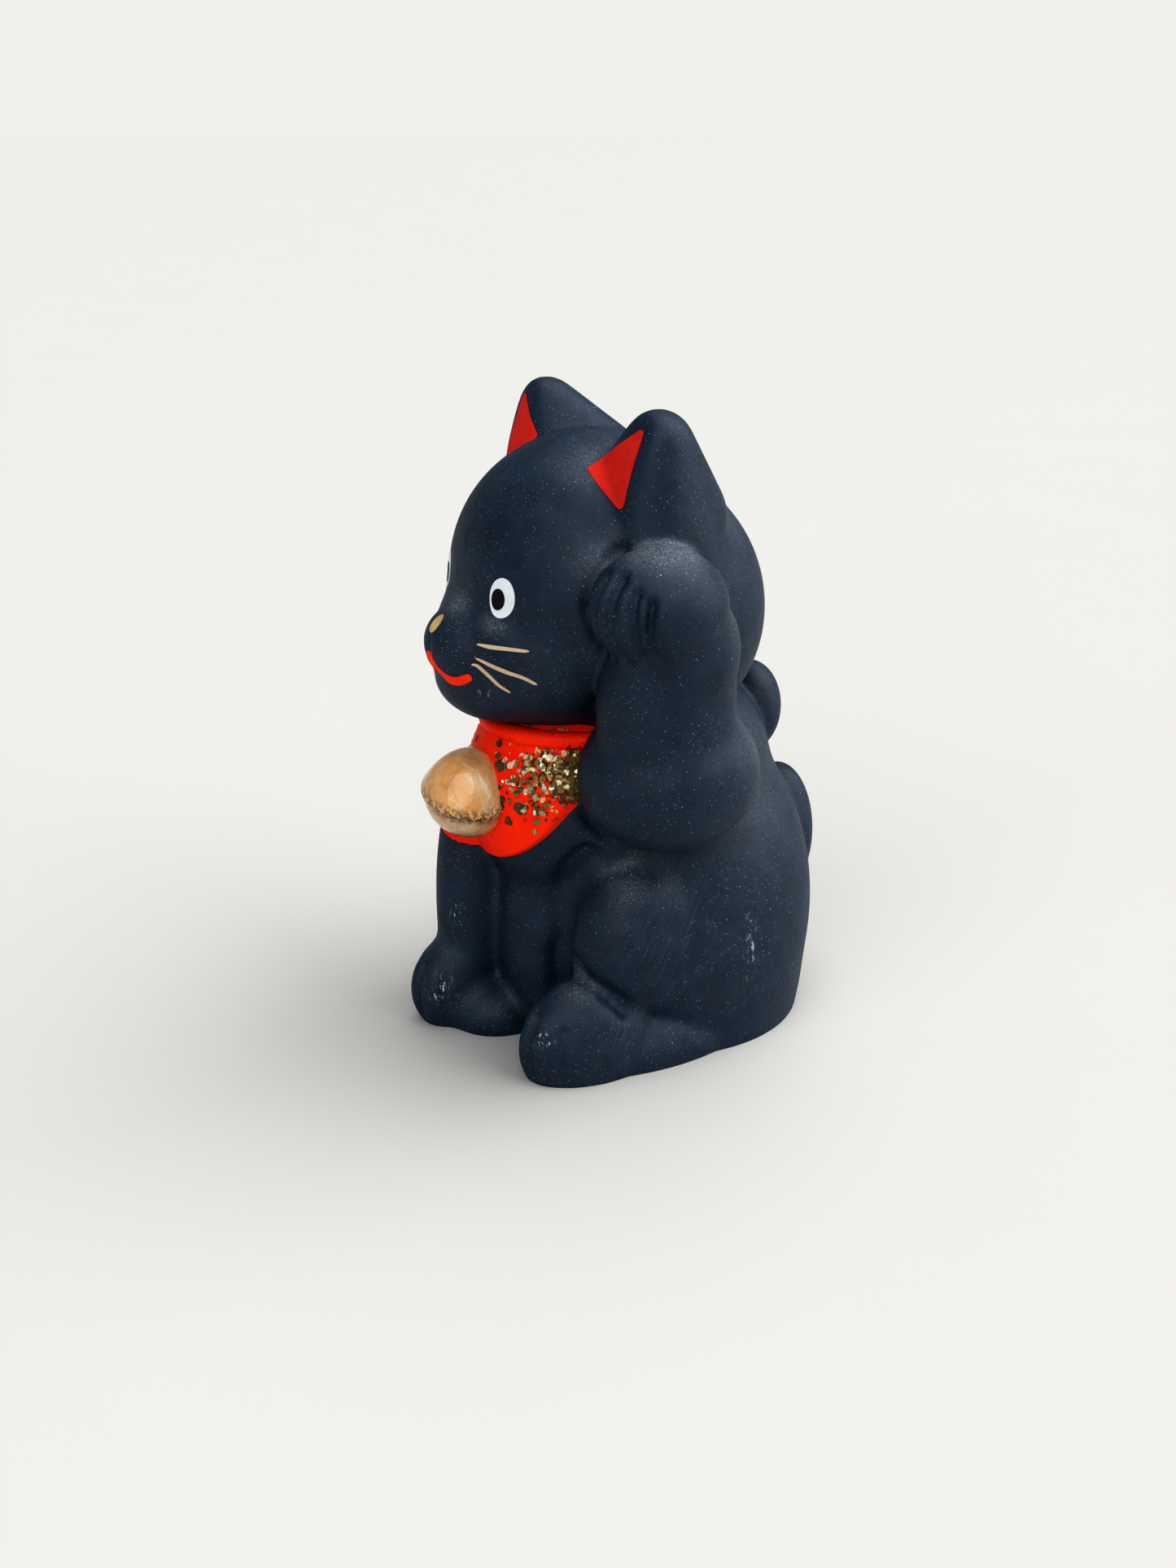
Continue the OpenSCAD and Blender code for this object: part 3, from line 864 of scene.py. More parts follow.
@dataclass
class ClayCat:
    """The clay of the figure: two shells, the raised arm, the tail and the bow at the nape."""

    grain: float = 0.36
    quick_grain: float = 0.5
    torso: tuple[Egg, ...] = (
        Egg((0, 7.5, 13), (18.1, 18.5, 25.5)),
        Egg((0, 7.6, 8), (17.5, 17.9, 28)),
        Egg((0, 5.6, 31.2), (14, 14.6, 13.4)),
        Egg((0, -4, 30), (12, 12.5, 14)),
        Egg((0, -1.5, 12), (10, 12.4, 20)),
    )
    haunch: tuple[Egg, ...] = (
        Egg((9.2, 6, 12), (9.1, 13, 13)),
        Egg((10.8, -2.5, 14.0), (6.9, 7.4, 10)),
        Egg((10.8, -1.2, 18.4), (6.4, 6.8, 6.4)),
    )
    foot: tuple[Egg, ...] = (
        Egg((13.1, -9.3, 3.6), (4.9, 8.3, 7.8), turn=-6),
        Egg((10.4, -1.0, 1.5), (7.6, 15.0, 6.0)),
    )
    foreleg: tuple[Egg, ...] = (
        Egg((-6.1, -14.8, 14.5), (4.3, 4.6, 18)),
        Egg((-5.9, -17.0, 4.0), (4.5, 6.3, 6.6)),
        Egg((-3.2, -13.0, 1.5), (6.0, 6.5, 4.5)),
    )
    head: tuple[Egg, ...] = (
        Egg((0, -1.7, 55), (18, 15.9, 16.1)),
        Egg((0, 2.2, 51.2), (17, 15.5, 16)),
        Egg((0, -8.3, 48.6), (14, 11.6, 9.3)),
        Egg((0, -13.4, 44.9), (8.5, 7.4, 4.8)),
    )
    muzzle: tuple[Egg, ...] = (
        Egg((0, -16.5, 49.1), (6.1, 5.7, 4.6)),
    )
    ear_balls: tuple[Egg, ...] = (
        Egg((13.3, -1.1, 71.3), (3.7, 3.9, 4.1)),
        Egg((6.4, -0.4, 65.0), (4.2, 5.2, 4.6)),
        Egg((14.0, -0.8, 61.5), (4.4, 5.6, 5.2)),
        Egg((10.5, 3.6, 63.0), (5.0, 4.8, 5.4)),
        Egg((5.0, 3.2, 66.6), (3.6, 3.6, 4.0)),
    )
    ear_face_at: Point = (11.5, -5.0, 69.6)
    ear_face_toward: Point = (0.1, -0.94, 0.34)
    arm: tuple[Egg, ...] = (
        Egg((15.7, -0.5, 36), (8.8, 10.3, 8.5)),
        Egg((17.5, -2.0, 45), (6.0, 7.8, 10)),
        Egg((19.0, -1.6, 51), (5.5, 6.9, 7.5)),
    )
    raised_paw: tuple[Egg, ...] = (
        Egg((19.5, -4.2, 56.2), (6.7, 7.5, 6.4)),
    )
    tail: Egg = Egg((0, 24.5, 19.0), (5.4, 4.0, 8.8))
    bow: Egg = Egg((0, 19.6, 36.2), (4.3, 3.8, 5.7))
    hollow: tuple[Egg, ...] = (
        Egg((0, 7.5, 13), (14.5, 14.8, 22)),
        Egg((0, 5, 31), (10, 10.5, 9.5)),
        Egg((0, 2, 40), (6, 6, 8)),
        Egg((0, -1.2, 54), (15.0, 14.0, 12.7)),
    )
    seam_y: float = 4.0
    # Pale patches: dust on upward edges, nose and cheeks, and painted highlight on the shoulder, the back of
    # the raised paw and the back of the head, turned to the light from behind on the right.
    dust_and_highlight: tuple[Patch, ...] = (
        Patch((19.5, -3.0, 62.2), (5.0, 6.0, 1.3), 1.0, (0.1, -0.1, 1)),
        Patch((14.2, -7.5, 60.5), (1.4, 3.0, 2.0), 0.7),
        Patch((21.5, 3.0, 57.0), (3.0, 1.5, 8), 0.3),
        Patch((11.0, -4.0, 24.6), (4.0, 3.0, 1.5), 0.9, (0.1, -0.3, 1)),
        Patch((13.6, -4.5, 22.5), (2.6, 2.6, 2.0), 0.5),
        Patch((13.3, -9.5, 11.2), (3.3, 4.2, 1.3), 0.85, (0, -0.2, 1)),
        Patch((0, -18.4, 53.6), (2.4, 1.6, 1.5), 1.0),
        Patch((6.8, -17.4, 52.9), (2.2, 1.6, 1.0), 0.75),
        Patch((-6.8, -17.4, 52.9), (2.2, 1.6, 1.0), 0.6),
        Patch((8.5, -5, 69.5), (4.5, 5, 2.4), 0.55, (0, -0.3, 1)),
        Patch((18.5, 7.0, 38.0), (4.5, 3.5, 4.5), 0.6, (0.4, 0.4, 0.8)),
        Patch((15.0, 12.0, 34.0), (7.0, 7.0, 7.0), 0.4, (0.5, 0.8, 0.3)),
        Patch((10.0, 9.0, 66.0), (3, 4, 6), 0.35, (0.3, 1, 0.3)),
        Patch((14.0, 4.0, 40.0), (4, 6, 3), 0.4, (0.2, 0.6, 1)),
        Patch((-6.0, -17.5, 10.0), (3, 3, 2), 0.4, (0, -0.3, 1)),
    )
    brush: tuple[Patch, ...] = (
        Patch((18.0, -1.0, 17.0), (6, 6.5, 9), 1.0),
        Patch((16.5, -7.5, 6.5), (4, 4.5, 4.5), 1.0),
        Patch((22.0, -1.0, 42.0), (6, 8, 10), 0.35),
    )
    scuff: tuple[Patch, ...] = (
        Patch((-2.9, -21.0, 5.6), (1.1, 1.6, 1.5), 1.0),
        Patch((15.0, -15.7, 6.2), (1.2, 1.4, 0.9), 1.0),
        Patch((-3.4, -18.4, 14.6), (0.7, 1.2, 1.6), 1.0),
        Patch((18.3, 9.5, 13.5), (1.2, 0.9, 4.0), 0.75),
        Patch((6.4, -18.5, 45.0), (0.7, 1.4, 0.7), 0.8),
    )
    grooves: tuple[Groove, ...] = (
        Groove(((21.2, -9.6, 60.2), (21.4, -11.3, 57.3), (21.3, -11.5, 54.2), (21.0, -9.5, 51.2)), 0.62, 1.7),
        Groove(((23.4, -9.0, 59.0), (23.8, -9.7, 57.3), (24.0, -9.4, 54.6), (23.2, -8.0, 51.6)), 0.60, 0.9),
        Groove(((24.8, -8.0, 58.3), (25.1, -8.4, 57.0), (24.9, -8.4, 54.8), (24.0, -7.4, 52.4)), 0.60, 1.0),
        Groove(((18.6, -10.0, 60.0), (18.6, -11.6, 57.0), (18.6, -11.4, 54.0), (18.6, -9.4, 51.2)), 0.6, 1.3),
        Groove(((-5.4, -22.2, 8.0), (-5.2, -22.9, 6.0), (-5.1, -23.0, 0.5)), 0.55, 1.0),
        Groove(((-2.6, -20.6, 7.2), (-2.4, -20.9, 5.0), (-2.2, -20.6, 0.5)), 0.5, 0.45),
        Groove(((-8.2, -21.4, 7.4), (-8.2, -22.0, 5.0), (-8.2, -21.8, 0.5)), 0.55, 0.8),
        Groove(((13.0, -16.0, 8.2), (13.2, -16.9, 6.0), (13.6, -17.5, 3.6),
            (14.0, -17.4, 0.5)), 0.62, 1.1, True),
        Groove(((16.3, -13.8, 7.2), (16.5, -14.6, 4.3), (16.6, -14.4, 0.5)), 0.5, 0.3, True),
        Groove(((10.6, -16.4, 7.4), (10.6, -17.2, 5.0), (10.8, -17.3, 0.5)), 0.55, 0.8, True),
        Groove(((10.8, -10.2, 12.9), (12.8, -9.6, 11.6), (15.3, -8.2, 10.4),
            (16.9, -6.2, 8.4)), 1.0, 1.0, True),
        Groove(((0.0, -22.1, 50.2), (0.0, -22.0, 48.2)), 0.45, 0.35),
        Groove(((8.2, -11.0, 8.0), (8.3, -11.2, 12.0), (8.6, -11.2, 16.0), (9.0, -10.8, 20.0),
            (9.8, -9.6, 23.2),
                (11.4, -8.4, 25.2)), 1.35, 2.9, True),
        Groove(((11.5, -8.5, 31.0), (12.0, -6.8, 28.6), (14.5, -3.6, 26.8), (17.5, 0.5, 26.6),
            (17.8, 4.5, 27.6),
                (17.0, 8.0, 29.5)), 1.0, 0.9),
        Groove(((15.7, -6.8, 61.5), (15.3, -10.1, 56.0), (15.5, -9.3, 53.0), (16.1, -7.3, 51.0),
            (14.8, -7.6, 48.0),
                (13.3, -7.6, 46.0), (12.3, -7.8, 43.5)), 0.9, 1.2),
    )
    parts: dict[str, bpy.types.Object] = field(default_factory=dict)
    torso_form: bpy.types.Object | None = None
    whole: bpy.types.Object | None = None

    def lumps(self, eggs: Sequence[Egg], name: str) -> bpy.types.Object:
        """Rolls several lumps and presses them together."""
        return Bench.join([Bench.egg(egg) for egg in eggs], name)

    def ear(self, side: int) -> bpy.types.Object:
        """Models one ear: a skin drawn over four balls, with its front cut flat.

        Args:
            side: 1 for the cat's left ear, -1 for its right.

        Returns:
            The ear.
        """
        balls = self.ear_balls if side > 0 else tuple(egg.mirrored() for egg in self.ear_balls)
        ear = self.lumps(balls, "ear")
        Bench.take(ear)
        bpy.ops.object.mode_set(mode="EDIT")
        bpy.ops.mesh.select_all(action="SELECT")
        bpy.ops.mesh.convex_hull()
        bpy.ops.object.mode_set(mode="OBJECT")
        mirror = Vector((side, 1, 1))
        Bench.slice_off(ear, Vector(self.ear_face_at) * mirror * MM, Vector(self.ear_face_toward) * mirror)
        return ear

    def model(self) -> None:
        """Models the whole figure as one skin of clay."""
        grain = self.grain
        torso = self.lumps(self.torso, "torso")
        Bench.blend(torso, 0.7, 50, 0.25)
        haunches = self.lumps(both_sides(self.haunch), "haunches")
        Bench.blend(haunches, 0.6, 34, 0.3)
        leg = self.lumps(self.foreleg, "foreleg")
        Bench.blend(leg, 0.45, 12, 0.1)
        torso = Bench.join([torso, haunches, leg], "torso")
        Bench.blend(torso, 0.5, 7, 0.05)
        self.torso_form = Bench.copy(torso, "torso_form")

        head = self.lumps(self.head, "head")
        Bench.blend(head, 0.6, 34, 0.2)
        muzzle = self.lumps(self.muzzle, "muzzle")
        head = Bench.join([head, muzzle, self.ear(1), self.ear(-1)], "head")
        Bench.blend(head, 0.45, 14, 0.08)

        arm = self.lumps(self.arm, "arm")
        Bench.blend(arm, 0.6, 30, 0.25)
        arm = Bench.join([arm, self.lumps(self.raised_paw, "raised_paw")], "arm")
        Bench.blend(arm, 0.45, 12, 0.05)

        feet = self.lumps(both_sides(self.foot), "feet")
        clay = Bench.join([torso, head, arm, feet, self.lumps([self.tail, self.bow], "tail")], "clay")
        Bench.blend(clay, grain, 9, 0.04)
        self.groove_toes(clay)
        Bench.smooth(clay, 2)
        Bench.slice_off(clay, Vector((0, 0, 0)), Vector((0, 0, -1)))
        Bench.shade(clay)
        self.whole = clay

    def groove_toes(self, clay: bpy.types.Object) -> None:
        """Presses the grooves between the toes with a thin tool.

        Args:
            clay: The fused clay.
        """
        points = Bench.points(clay)
        total = np.zeros(len(points))
        for groove in self.grooves:
            for path in groove.paths():
                away = path_distance(points, path)
                total = np.maximum(total, groove.depth * np.exp(-((away / groove.width) ** 2)))
        Bench.press(clay, total, 1.0)

    def split(self) -> None:
        """Parts the clay into the pieces it was pressed in, each closed."""
        body = Bench.copy(self.whole, "body")
        rest: list[Egg] = [*self.torso, *both_sides(self.haunch), *self.head, *both_sides(self.ear_balls)]
        for name, eggs, heart in (
            ("raised_arm", [*self.arm, *self.raised_paw], (12.0, 1.0, 44.0)),
            ("tail", [self.tail], (0.0, 20.0, 18.7)),
            ("neck_bow", [self.bow], (0.0, 14.0, 36.0)),
        ):
            self.parts[name] = self.part_off(body, name, eggs, rest, heart)
        self.hollow_out(body)
        self.parts["back_half_shell"] = self.half(body, "back_half_shell", 1)
        self.parts["front_half_shell"] = self.half(body, "front_half_shell", -1)
        Bench.discard(body)
        for name, piece in self.parts.items():
            piece.name = f"{name}_skin"
            self.keep_skin_shading(piece)
            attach(piece, "root")
            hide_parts(name)

    def part_off(self, body: bpy.types.Object, name: str, mine: Sequence[Egg], rest: Sequence[Egg],
                 heart: Point) -> bpy.types.Object:
        """Separates the skin that lies nearest some lumps, and closes both openings inside the clay.

        Args:
            body: The clay to part it from.
            name: Name of the new piece.
            mine: Lumps that belong to the new piece.
            rest: Lumps that belong to the body.
            heart: Point inside the clay, in millimetres, that both openings close on.

        Returns:
            The new piece.
        """
        count = len(body.data.polygons)
        flat = np.empty(count * 3)
        body.data.polygons.foreach_get("center", flat)
        centres = flat.reshape(-1, 3) / MM
        chosen = Bench.whole_stars(body, nearest(mine, centres) < nearest(rest, centres))
        Bench.take(body)
        bpy.ops.object.mode_set(mode="EDIT")
        bpy.ops.mesh.select_mode(type="FACE")
        bpy.ops.mesh.select_all(action="DESELECT")
        bpy.ops.object.mode_set(mode="OBJECT")
        body.data.polygons.foreach_set("select", chosen)
        bpy.ops.object.mode_set(mode="EDIT")
        bpy.ops.mesh.separate(type="SELECTED")
        bpy.ops.object.mode_set(mode="OBJECT")
        piece = next(o for o in bpy.context.selected_objects if o is not body)
        piece.name = name
        for side in (body, piece):
            self.close_on(side, heart)
        return piece

    def close_on(self, piece: bpy.types.Object, heart: Point) -> None:
        """Closes a piece's open rim with a cone of faces to a point inside the clay."""
        Bench.take(piece)
        bpy.context.scene.cursor.location = Vector(heart) * MM
        bpy.ops.object.mode_set(mode="EDIT")
        bpy.ops.mesh.select_mode(type="EDGE")
        bpy.ops.mesh.select_all(action="DESELECT")
        bpy.ops.mesh.select_non_manifold(extend=False, use_wire=False, use_boundary=True,
                                         use_multi_face=False, use_non_contiguous=False, use_verts=False)
        bpy.ops.mesh.extrude_edges_move()
        bpy.ops.mesh.merge(type="CURSOR")
        bpy.context.scene.cursor.location = (0, 0, 0)
        bpy.ops.mesh.select_all(action="SELECT")
        bpy.ops.mesh.normals_make_consistent(inside=False)
        bpy.ops.object.mode_set(mode="OBJECT")

    def hollow_out(self, body: bpy.types.Object) -> None:
        """Takes the hollow and the base plate's seat out of the body."""
        low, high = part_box("base_plate")
        hollow = self.lumps(self.hollow, "hollow")
        Bench.knead(hollow, 1.0)
        Bench.smooth(hollow, 4)
        Bench.slice_off(hollow, Vector((0, 0, high.z)), Vector((0, 0, -1)))
        Bench.clear()
        bpy.ops.mesh.primitive_cylinder_add(
            vertices=64, radius=1.0, depth=1.0,
            location=((low.x + high.x) / 2, (low.y + high.y) / 2, (high.z - MM) / 2),
            scale=((high.x - low.x) / 2, (high.y - low.y) / 2, high.z + MM),
        )
        seat = Bench.settle("seat")
        for tool in (hollow, seat):
            Bench.cut(body, tool)
        Bench.discard(hollow, seat)

    def half(self, body: bpy.types.Object, name: str, side: int) -> bpy.types.Object:
        """Returns the half of the body behind (side 1) or in front of (side -1) the seam."""
        piece = Bench.copy(body, name)
        room = 0.1
        Bench.clear()
        bpy.ops.mesh.primitive_cube_add(size=2 * room, location=(0, self.seam_y * MM + side * room, 0))
        block = Bench.settle("block")
        Bench.cut(piece, block, "INTERSECT")
        Bench.discard(block)
        return piece

    def keep_skin_shading(self, piece: bpy.types.Object) -> None:
        """Shades a parted piece with the undivided skin's own normals, so that no joint shows."""
        Bench.shade(piece, 40)
        Bench.finish_modifier(
            piece, "DATA_TRANSFER", object=self.whole, use_loop_data=True, data_types_loops={"CUSTOM_NORMAL"},
            loop_mapping="POLYINTERP_LNORPROJ", use_max_distance=True, max_distance=0.05 * MM,
        )

    def finish(self, clay: bpy.types.Material) -> None:
        """Paints dust and painted highlight, brush marks and scuffs on every clay piece and dresses it."""
        for piece in self.parts.values():
            points, normals = Bench.points(piece), normals_of(piece)
            paint_value(piece, "dust_and_highlight", lay_patches(points, normals, self.dust_and_highlight))
            paint_value(piece, "brush", lay_patches(points, normals, self.brush))
            paint_value(piece, "scuff", lay_patches(points, normals, self.scuff))
            dress(piece, clay)
            LOG.info("%s: %d faces", piece.name, len(piece.data.polygons))


# ---------------------------------------------------------------------------------------------
# Bib, collar and bell
# ---------------------------------------------------------------------------------------------


@dataclass
class Bib:
    """The relief bib under the chin and the rolled band along its top."""

    cat: ClayCat
    relief: float = 0.65
    sink: float = 0.6
    grain: float = 0.24
    collar_at: Point = (0, -3, 38.9)
    collar_radii: tuple[float, float] = (10.4, 11.3)
    collar_thick: float = 1.1
    bib: bpy.types.Object | None = None
    collar: bpy.types.Object | None = None

    def outline_block(self) -> bpy.types.Object:
        """Models a block whose front view is the bib: straight sides and a round hem."""
        low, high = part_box("bib")
        half, drop, depth = (high.x - low.x) / 2 - 0.0008, 0.011, 0.04
        Bench.clear()
        bpy.ops.mesh.primitive_cylinder_add(
            vertices=96, radius=1.0, depth=depth, location=(0, -0.002 - depth / 2, low.z + drop),
            rotation=(math.pi / 2, 0, 0), scale=(half, drop, 1),
        )
        round_part = Bench.settle("round_part")
        Bench.clear()
        bpy.ops.mesh.primitive_cube_add(
            size=1.0, location=(0, -0.002 - depth / 2, low.z + drop + 0.006), scale=(2 * half, depth, 0.012)
        )
        square_part = Bench.settle("square_part")
        Bench.cut(round_part, square_part, "UNION")
        Bench.discard(square_part)
        Bench.slice_off(round_part, Vector((0, 0, high.z)), Vector((0, 0, 1)))
        return round_part

    def model(self) -> None:
        """Models the bib as a raised skin on the chest, and the band."""
        bib = Bench.copy(self.cat.torso_form, "bib_relief")
        Bench.swell(bib, self.relief)
        core = Bench.copy(self.cat.torso_form, "core")
        Bench.swell(core, -self.sink)
        block = self.outline_block()
        Bench.cut(bib, block, "INTERSECT")
        Bench.cut(bib, core)
        Bench.discard(core, block)
        Bench.knead(bib, self.grain)
        Bench.smooth(bib, 3)
        Bench.shade(bib)
        self.bib = bib

        Bench.clear()
        x, y, z = self.collar_at
        wide, deep = self.collar_radii
        bpy.ops.mesh.primitive_torus_add(
            major_segments=128, minor_segments=20, major_radius=wide * MM,
                minor_radius=self.collar_thick * MM,
            location=(x * MM, y * MM, z * MM),
        )
        bpy.ops.transform.resize(value=(1, deep / wide, 1))
        collar = Bench.settle("collar_roll")
        Bench.slice_off(collar, Vector((0, y * MM, 0)), Vector((0, 1, 0)))
        Bench.knead(collar, self.grain)
        Bench.smooth(collar, 3)
        Bench.shade(collar)
        self.collar = collar
        for piece, node in ((bib, "bib"), (collar, "collar_band")):
            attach(piece, "root")
            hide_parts(node)

    def finish(self, red: bpy.types.Material) -> None:
        """Marks where leaf has crusted over the red, and dresses both pieces."""
        for piece in (self.bib, self.collar):
            points = Bench.points(piece)
            crust = Patch((10.8, -9.0, 35.5), (3.6, 7, 4.6), 0.85)
            other = Patch((-10.5, -9.5, 36.0), (2.6, 7, 4.2), 0.9)
            paint_value(piece, "crust", lay_patches(points, normals_of(piece), (crust, other)))
            dress(piece, red)
            LOG.info("%s: %d faces", piece.name, len(piece.data.polygons))


@dataclass
class Bell:
    """The bell at the chest: a coned top and a round underside that meet at a sharp rim."""

    tilt: Point = (2, 15, 0)
    sides: int = 72
    piece: bpy.types.Object | None = None

    def outline(self, rim: float) -> list[tuple[float, float]]:
        """Returns (radius, height) points from the top to the bottom, in metres.

        Args:
            rim: The rim's radius in metres.
        """
        top = [(0.10, 0.86), (0.25, 0.84), (0.42, 0.76), (0.59, 0.63), (0.74, 0.47), (0.88, 0.27),
            (0.975, 0.09)]
        edge = [(1.0, 0.02), (0.995, -0.03), (0.965, -0.07)]
        under = [
            (0.95 * math.cos(math.radians(a)), -0.98 * math.sin(math.radians(a)))
            for a in range(12, 88, 8)
        ]
        return [(rim * r, rim * h) for r, h in [*top, *edge, *under]]

    def model(self) -> None:
        """Models the bell ring by ring from the top down."""
        low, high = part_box("bell")
        rim = 0.0057
        centre = Vector((0, low.y + rim + 0.0005, (low.z + high.z) / 2 + 0.0002))
        steps = self.outline(rim)
        Bench.clear()
        radius, height = steps[0]
        bpy.ops.mesh.primitive_circle_add(vertices=self.sides, radius=radius, location=(0, 0, height))
        bell = Bench.settle("bell_boss")
        bpy.ops.object.mode_set(mode="EDIT")
        bpy.ops.mesh.select_mode(type="VERT")
        bpy.ops.mesh.select_all(action="SELECT")
        for (old_r, old_h), (new_r, new_h) in zip(steps, steps[1:]):
            bpy.ops.mesh.extrude_edges_move()
            bpy.ops.transform.translate(value=(0, 0, new_h - old_h))
            bpy.ops.transform.resize(value=(new_r / old_r, new_r / old_r, 1))
        bpy.ops.mesh.select_all(action="SELECT")
        bpy.ops.mesh.fill_holes(sides=0)
        bpy.ops.mesh.normals_make_consistent(inside=False)
        bpy.ops.object.mode_set(mode="OBJECT")
        bell.location = centre
        bell.rotation_euler = Euler([math.radians(a) for a in self.tilt])
        Bench.take(bell)
        self.piece = Bench.settle("bell_boss")
        Bench.finish_modifier(self.piece, "SUBSURF", levels=1, render_levels=1)
        Bench.shade(self.piece, 60)
        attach(self.piece, "root")
        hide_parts("bell")

    def finish(self, varnish: bpy.types.Material) -> None:
        """Marks the rim, where the specks gather, and dresses the bell."""
        low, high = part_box("bell")
        middle = np.array(((low + high) / 2)) / MM
        points = Bench.points(self.piece)
        turn = np.array(Euler([math.radians(a) for a in self.tilt]).to_matrix())
        local = (points - middle) @ turn
        paint_value(self.piece, "rim", np.exp(-((local[:, 2] / 0.9) ** 2)))
        dress(self.piece, varnish)
        LOG.info("bell: %d faces", len(self.piece.data.polygons))


# ---------------------------------------------------------------------------------------------
# Painted face
# ---------------------------------------------------------------------------------------------


def smooth_path(corners: Sequence[tuple[float, float]], steps: int) -> list[tuple[float, float]]:
    """Returns a curve through corners, with some steps from one corner to the next."""
    points = np.array([corners[0], *corners, corners[-1]])
    curve = []
    for first, start, end, last in zip(points, points[1:], points[2:], points[3:]):
        for step in range(steps):
            t = step / steps
            curve.append(0.5 * ((2 * start) + (end - first) * t
                + (2 * first - 5 * start + 4 * end - last) * t**2
                                + (3 * start - first - 3 * end + last) * t**3))
    curve.append(points[-1])
    return [tuple(point) for point in curve]


@dataclass
class FacePaint:
    """Thin films of paint laid on the clay: eyes, pupils, nose, mouth, whiskers and ears."""

    skin: bpy.types.Object
    film: float = 0.09
    sink: float = 0.25
    pieces: dict[str, bpy.types.Object] = field(default_factory=dict)

    def lay(self, name: str, material: bpy.types.Material, lift: float = 0.0) -> None:
        """Lays the active flat piece on the clay from the front and gives it its thickness.

        Args:
            name: Name of the CAD node that it stands for.
            material: Its paint.
            lift: Millimetres that it lies above the clay, for paint over paint.
        """
        piece = bpy.context.object
        piece.name = f"{name}_film"
        Bench.finish_modifier(
            piece, "SHRINKWRAP", target=self.skin, wrap_method="PROJECT", use_project_y=True,
            use_positive_direction=True, use_negative_direction=False, offset=lift * MM,
        )
        Bench.finish_modifier(piece, "SOLIDIFY", thickness=(self.film + self.sink) * MM,
                              offset=1.0 - 2.0 * self.sink / (self.film + self.sink), use_even_offset=True)
        Bench.shade(piece, 50)
        dress(piece, material)
        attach(piece, "root")
        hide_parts(name)
        self.pieces[name] = piece
        LOG.info("%s: %d faces", name, len(piece.data.polygons))

    def disc(self, x: float, z: float, wide: float, high: float, lean: float = 0.0) -> None:
        """Draws a flat oval in front of the face, in rings.

        Args:
            x: Middle, in metres.
            z: Middle, in metres.
            wide: Half width in metres.
            high: Half height in metres.
            lean: Not used.
        """
        Bench.clear()
        bpy.ops.mesh.primitive_circle_add(
            vertices=72, radius=1.0, location=(x, -0.04, z), rotation=(math.pi / 2, 0, 0)
        )
        bpy.ops.transform.resize(value=(wide, 1, high))
        Bench.settle("disc")
        self.ring_in()

    def ring_in(self, rings: int = 6) -> None:
        """Fills the active flat outline with rings of faces, so that it can bend over the clay.

        Args:
            rings: How many rings.
        """
        bpy.ops.object.mode_set(mode="EDIT")
        bpy.ops.mesh.select_mode(type="EDGE")
        bpy.ops.mesh.select_all(action="SELECT")
        for left in range(rings, 1, -1):
            share = (left - 1) / left
            bpy.ops.mesh.extrude_edges_move()
            bpy.ops.transform.resize(value=(share, share, share))
        bpy.ops.mesh.edge_face_add()
        bpy.ops.mesh.poke()
        bpy.ops.mesh.select_all(action="SELECT")
        bpy.ops.mesh.normals_make_consistent(inside=False)
        bpy.ops.object.mode_set(mode="OBJECT")
        self.face_forward(bpy.context.object)

    def spot(self, node: str) -> tuple[float, float, float, float]:
        """Returns the middle (x, z) and the half sizes of one of the part's own painted spots."""
        low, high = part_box(node)
        middle, half = (low + high) / 2, (high - low) / 2
        return middle.x, middle.z, half.x, half.z

    def eyes(self, white: bpy.types.Material, black: bpy.types.Material) -> None:
        """Paints the eyes where the part's own eyes are."""
        for side in (each.word for each in Side):
            for what, material, slot, lift in (("eye_white", white, "cream_paint", 0.0),
                                               ("pupil", black, "black_paint", self.film * 0.8)):
                self.disc(*self.spot(f"{what}_{side}"))
                self.lay(f"{what}_{side}", material, lift)

    def nose(self, gold: bpy.types.Material) -> None:
        """Paints the nose dot."""
        x, z, wide, high = self.spot("nose_dot")
        self.disc(x, z, 0.8 * wide, high)
        self.lay("nose_dot", gold)

    def ears(self, red: bpy.types.Material) -> None:
        """Paints the ear linings: triangles with round corners."""
        corners = ((14.5, 74.0), (7.2, 69.2), (14.6, 65.2))
        for side, sign in ((each.word, each.value) for each in Side):
            Bench.clear()
            bpy.ops.mesh.primitive_circle_add(vertices=3, radius=1.0, fill_type="NGON", location=(0, 0, 0))
            ear = bpy.context.object
            for vertex, (x, z) in zip(ear.data.vertices, corners):
                vertex.co = (sign * x * MM, -0.04, z * MM)
            bpy.ops.object.mode_set(mode="EDIT")
            bpy.ops.mesh.select_all(action="SELECT")
            bpy.ops.mesh.bevel(offset=0.0011, segments=8, affect="VERTICES")
            bpy.ops.mesh.subdivide(number_cuts=1)
            bpy.ops.mesh.select_all(action="SELECT")
            bpy.ops.mesh.delete(type="ONLY_FACE")
            bpy.ops.object.mode_set(mode="OBJECT")
            self.ring_in(12)
            self.lay(f"ear_lining_{side}", red, 0.02)

    def face_forward(self, piece: bpy.types.Object) -> None:
        """Turns a flat piece's face to the front if it looks back."""
        Bench.take(piece)
        if piece.data.polygons[0].normal.y > 0:
            bpy.ops.object.mode_set(mode="EDIT")
            bpy.ops.mesh.select_all(action="SELECT")
            bpy.ops.mesh.flip_normals()
            bpy.ops.object.mode_set(mode="OBJECT")

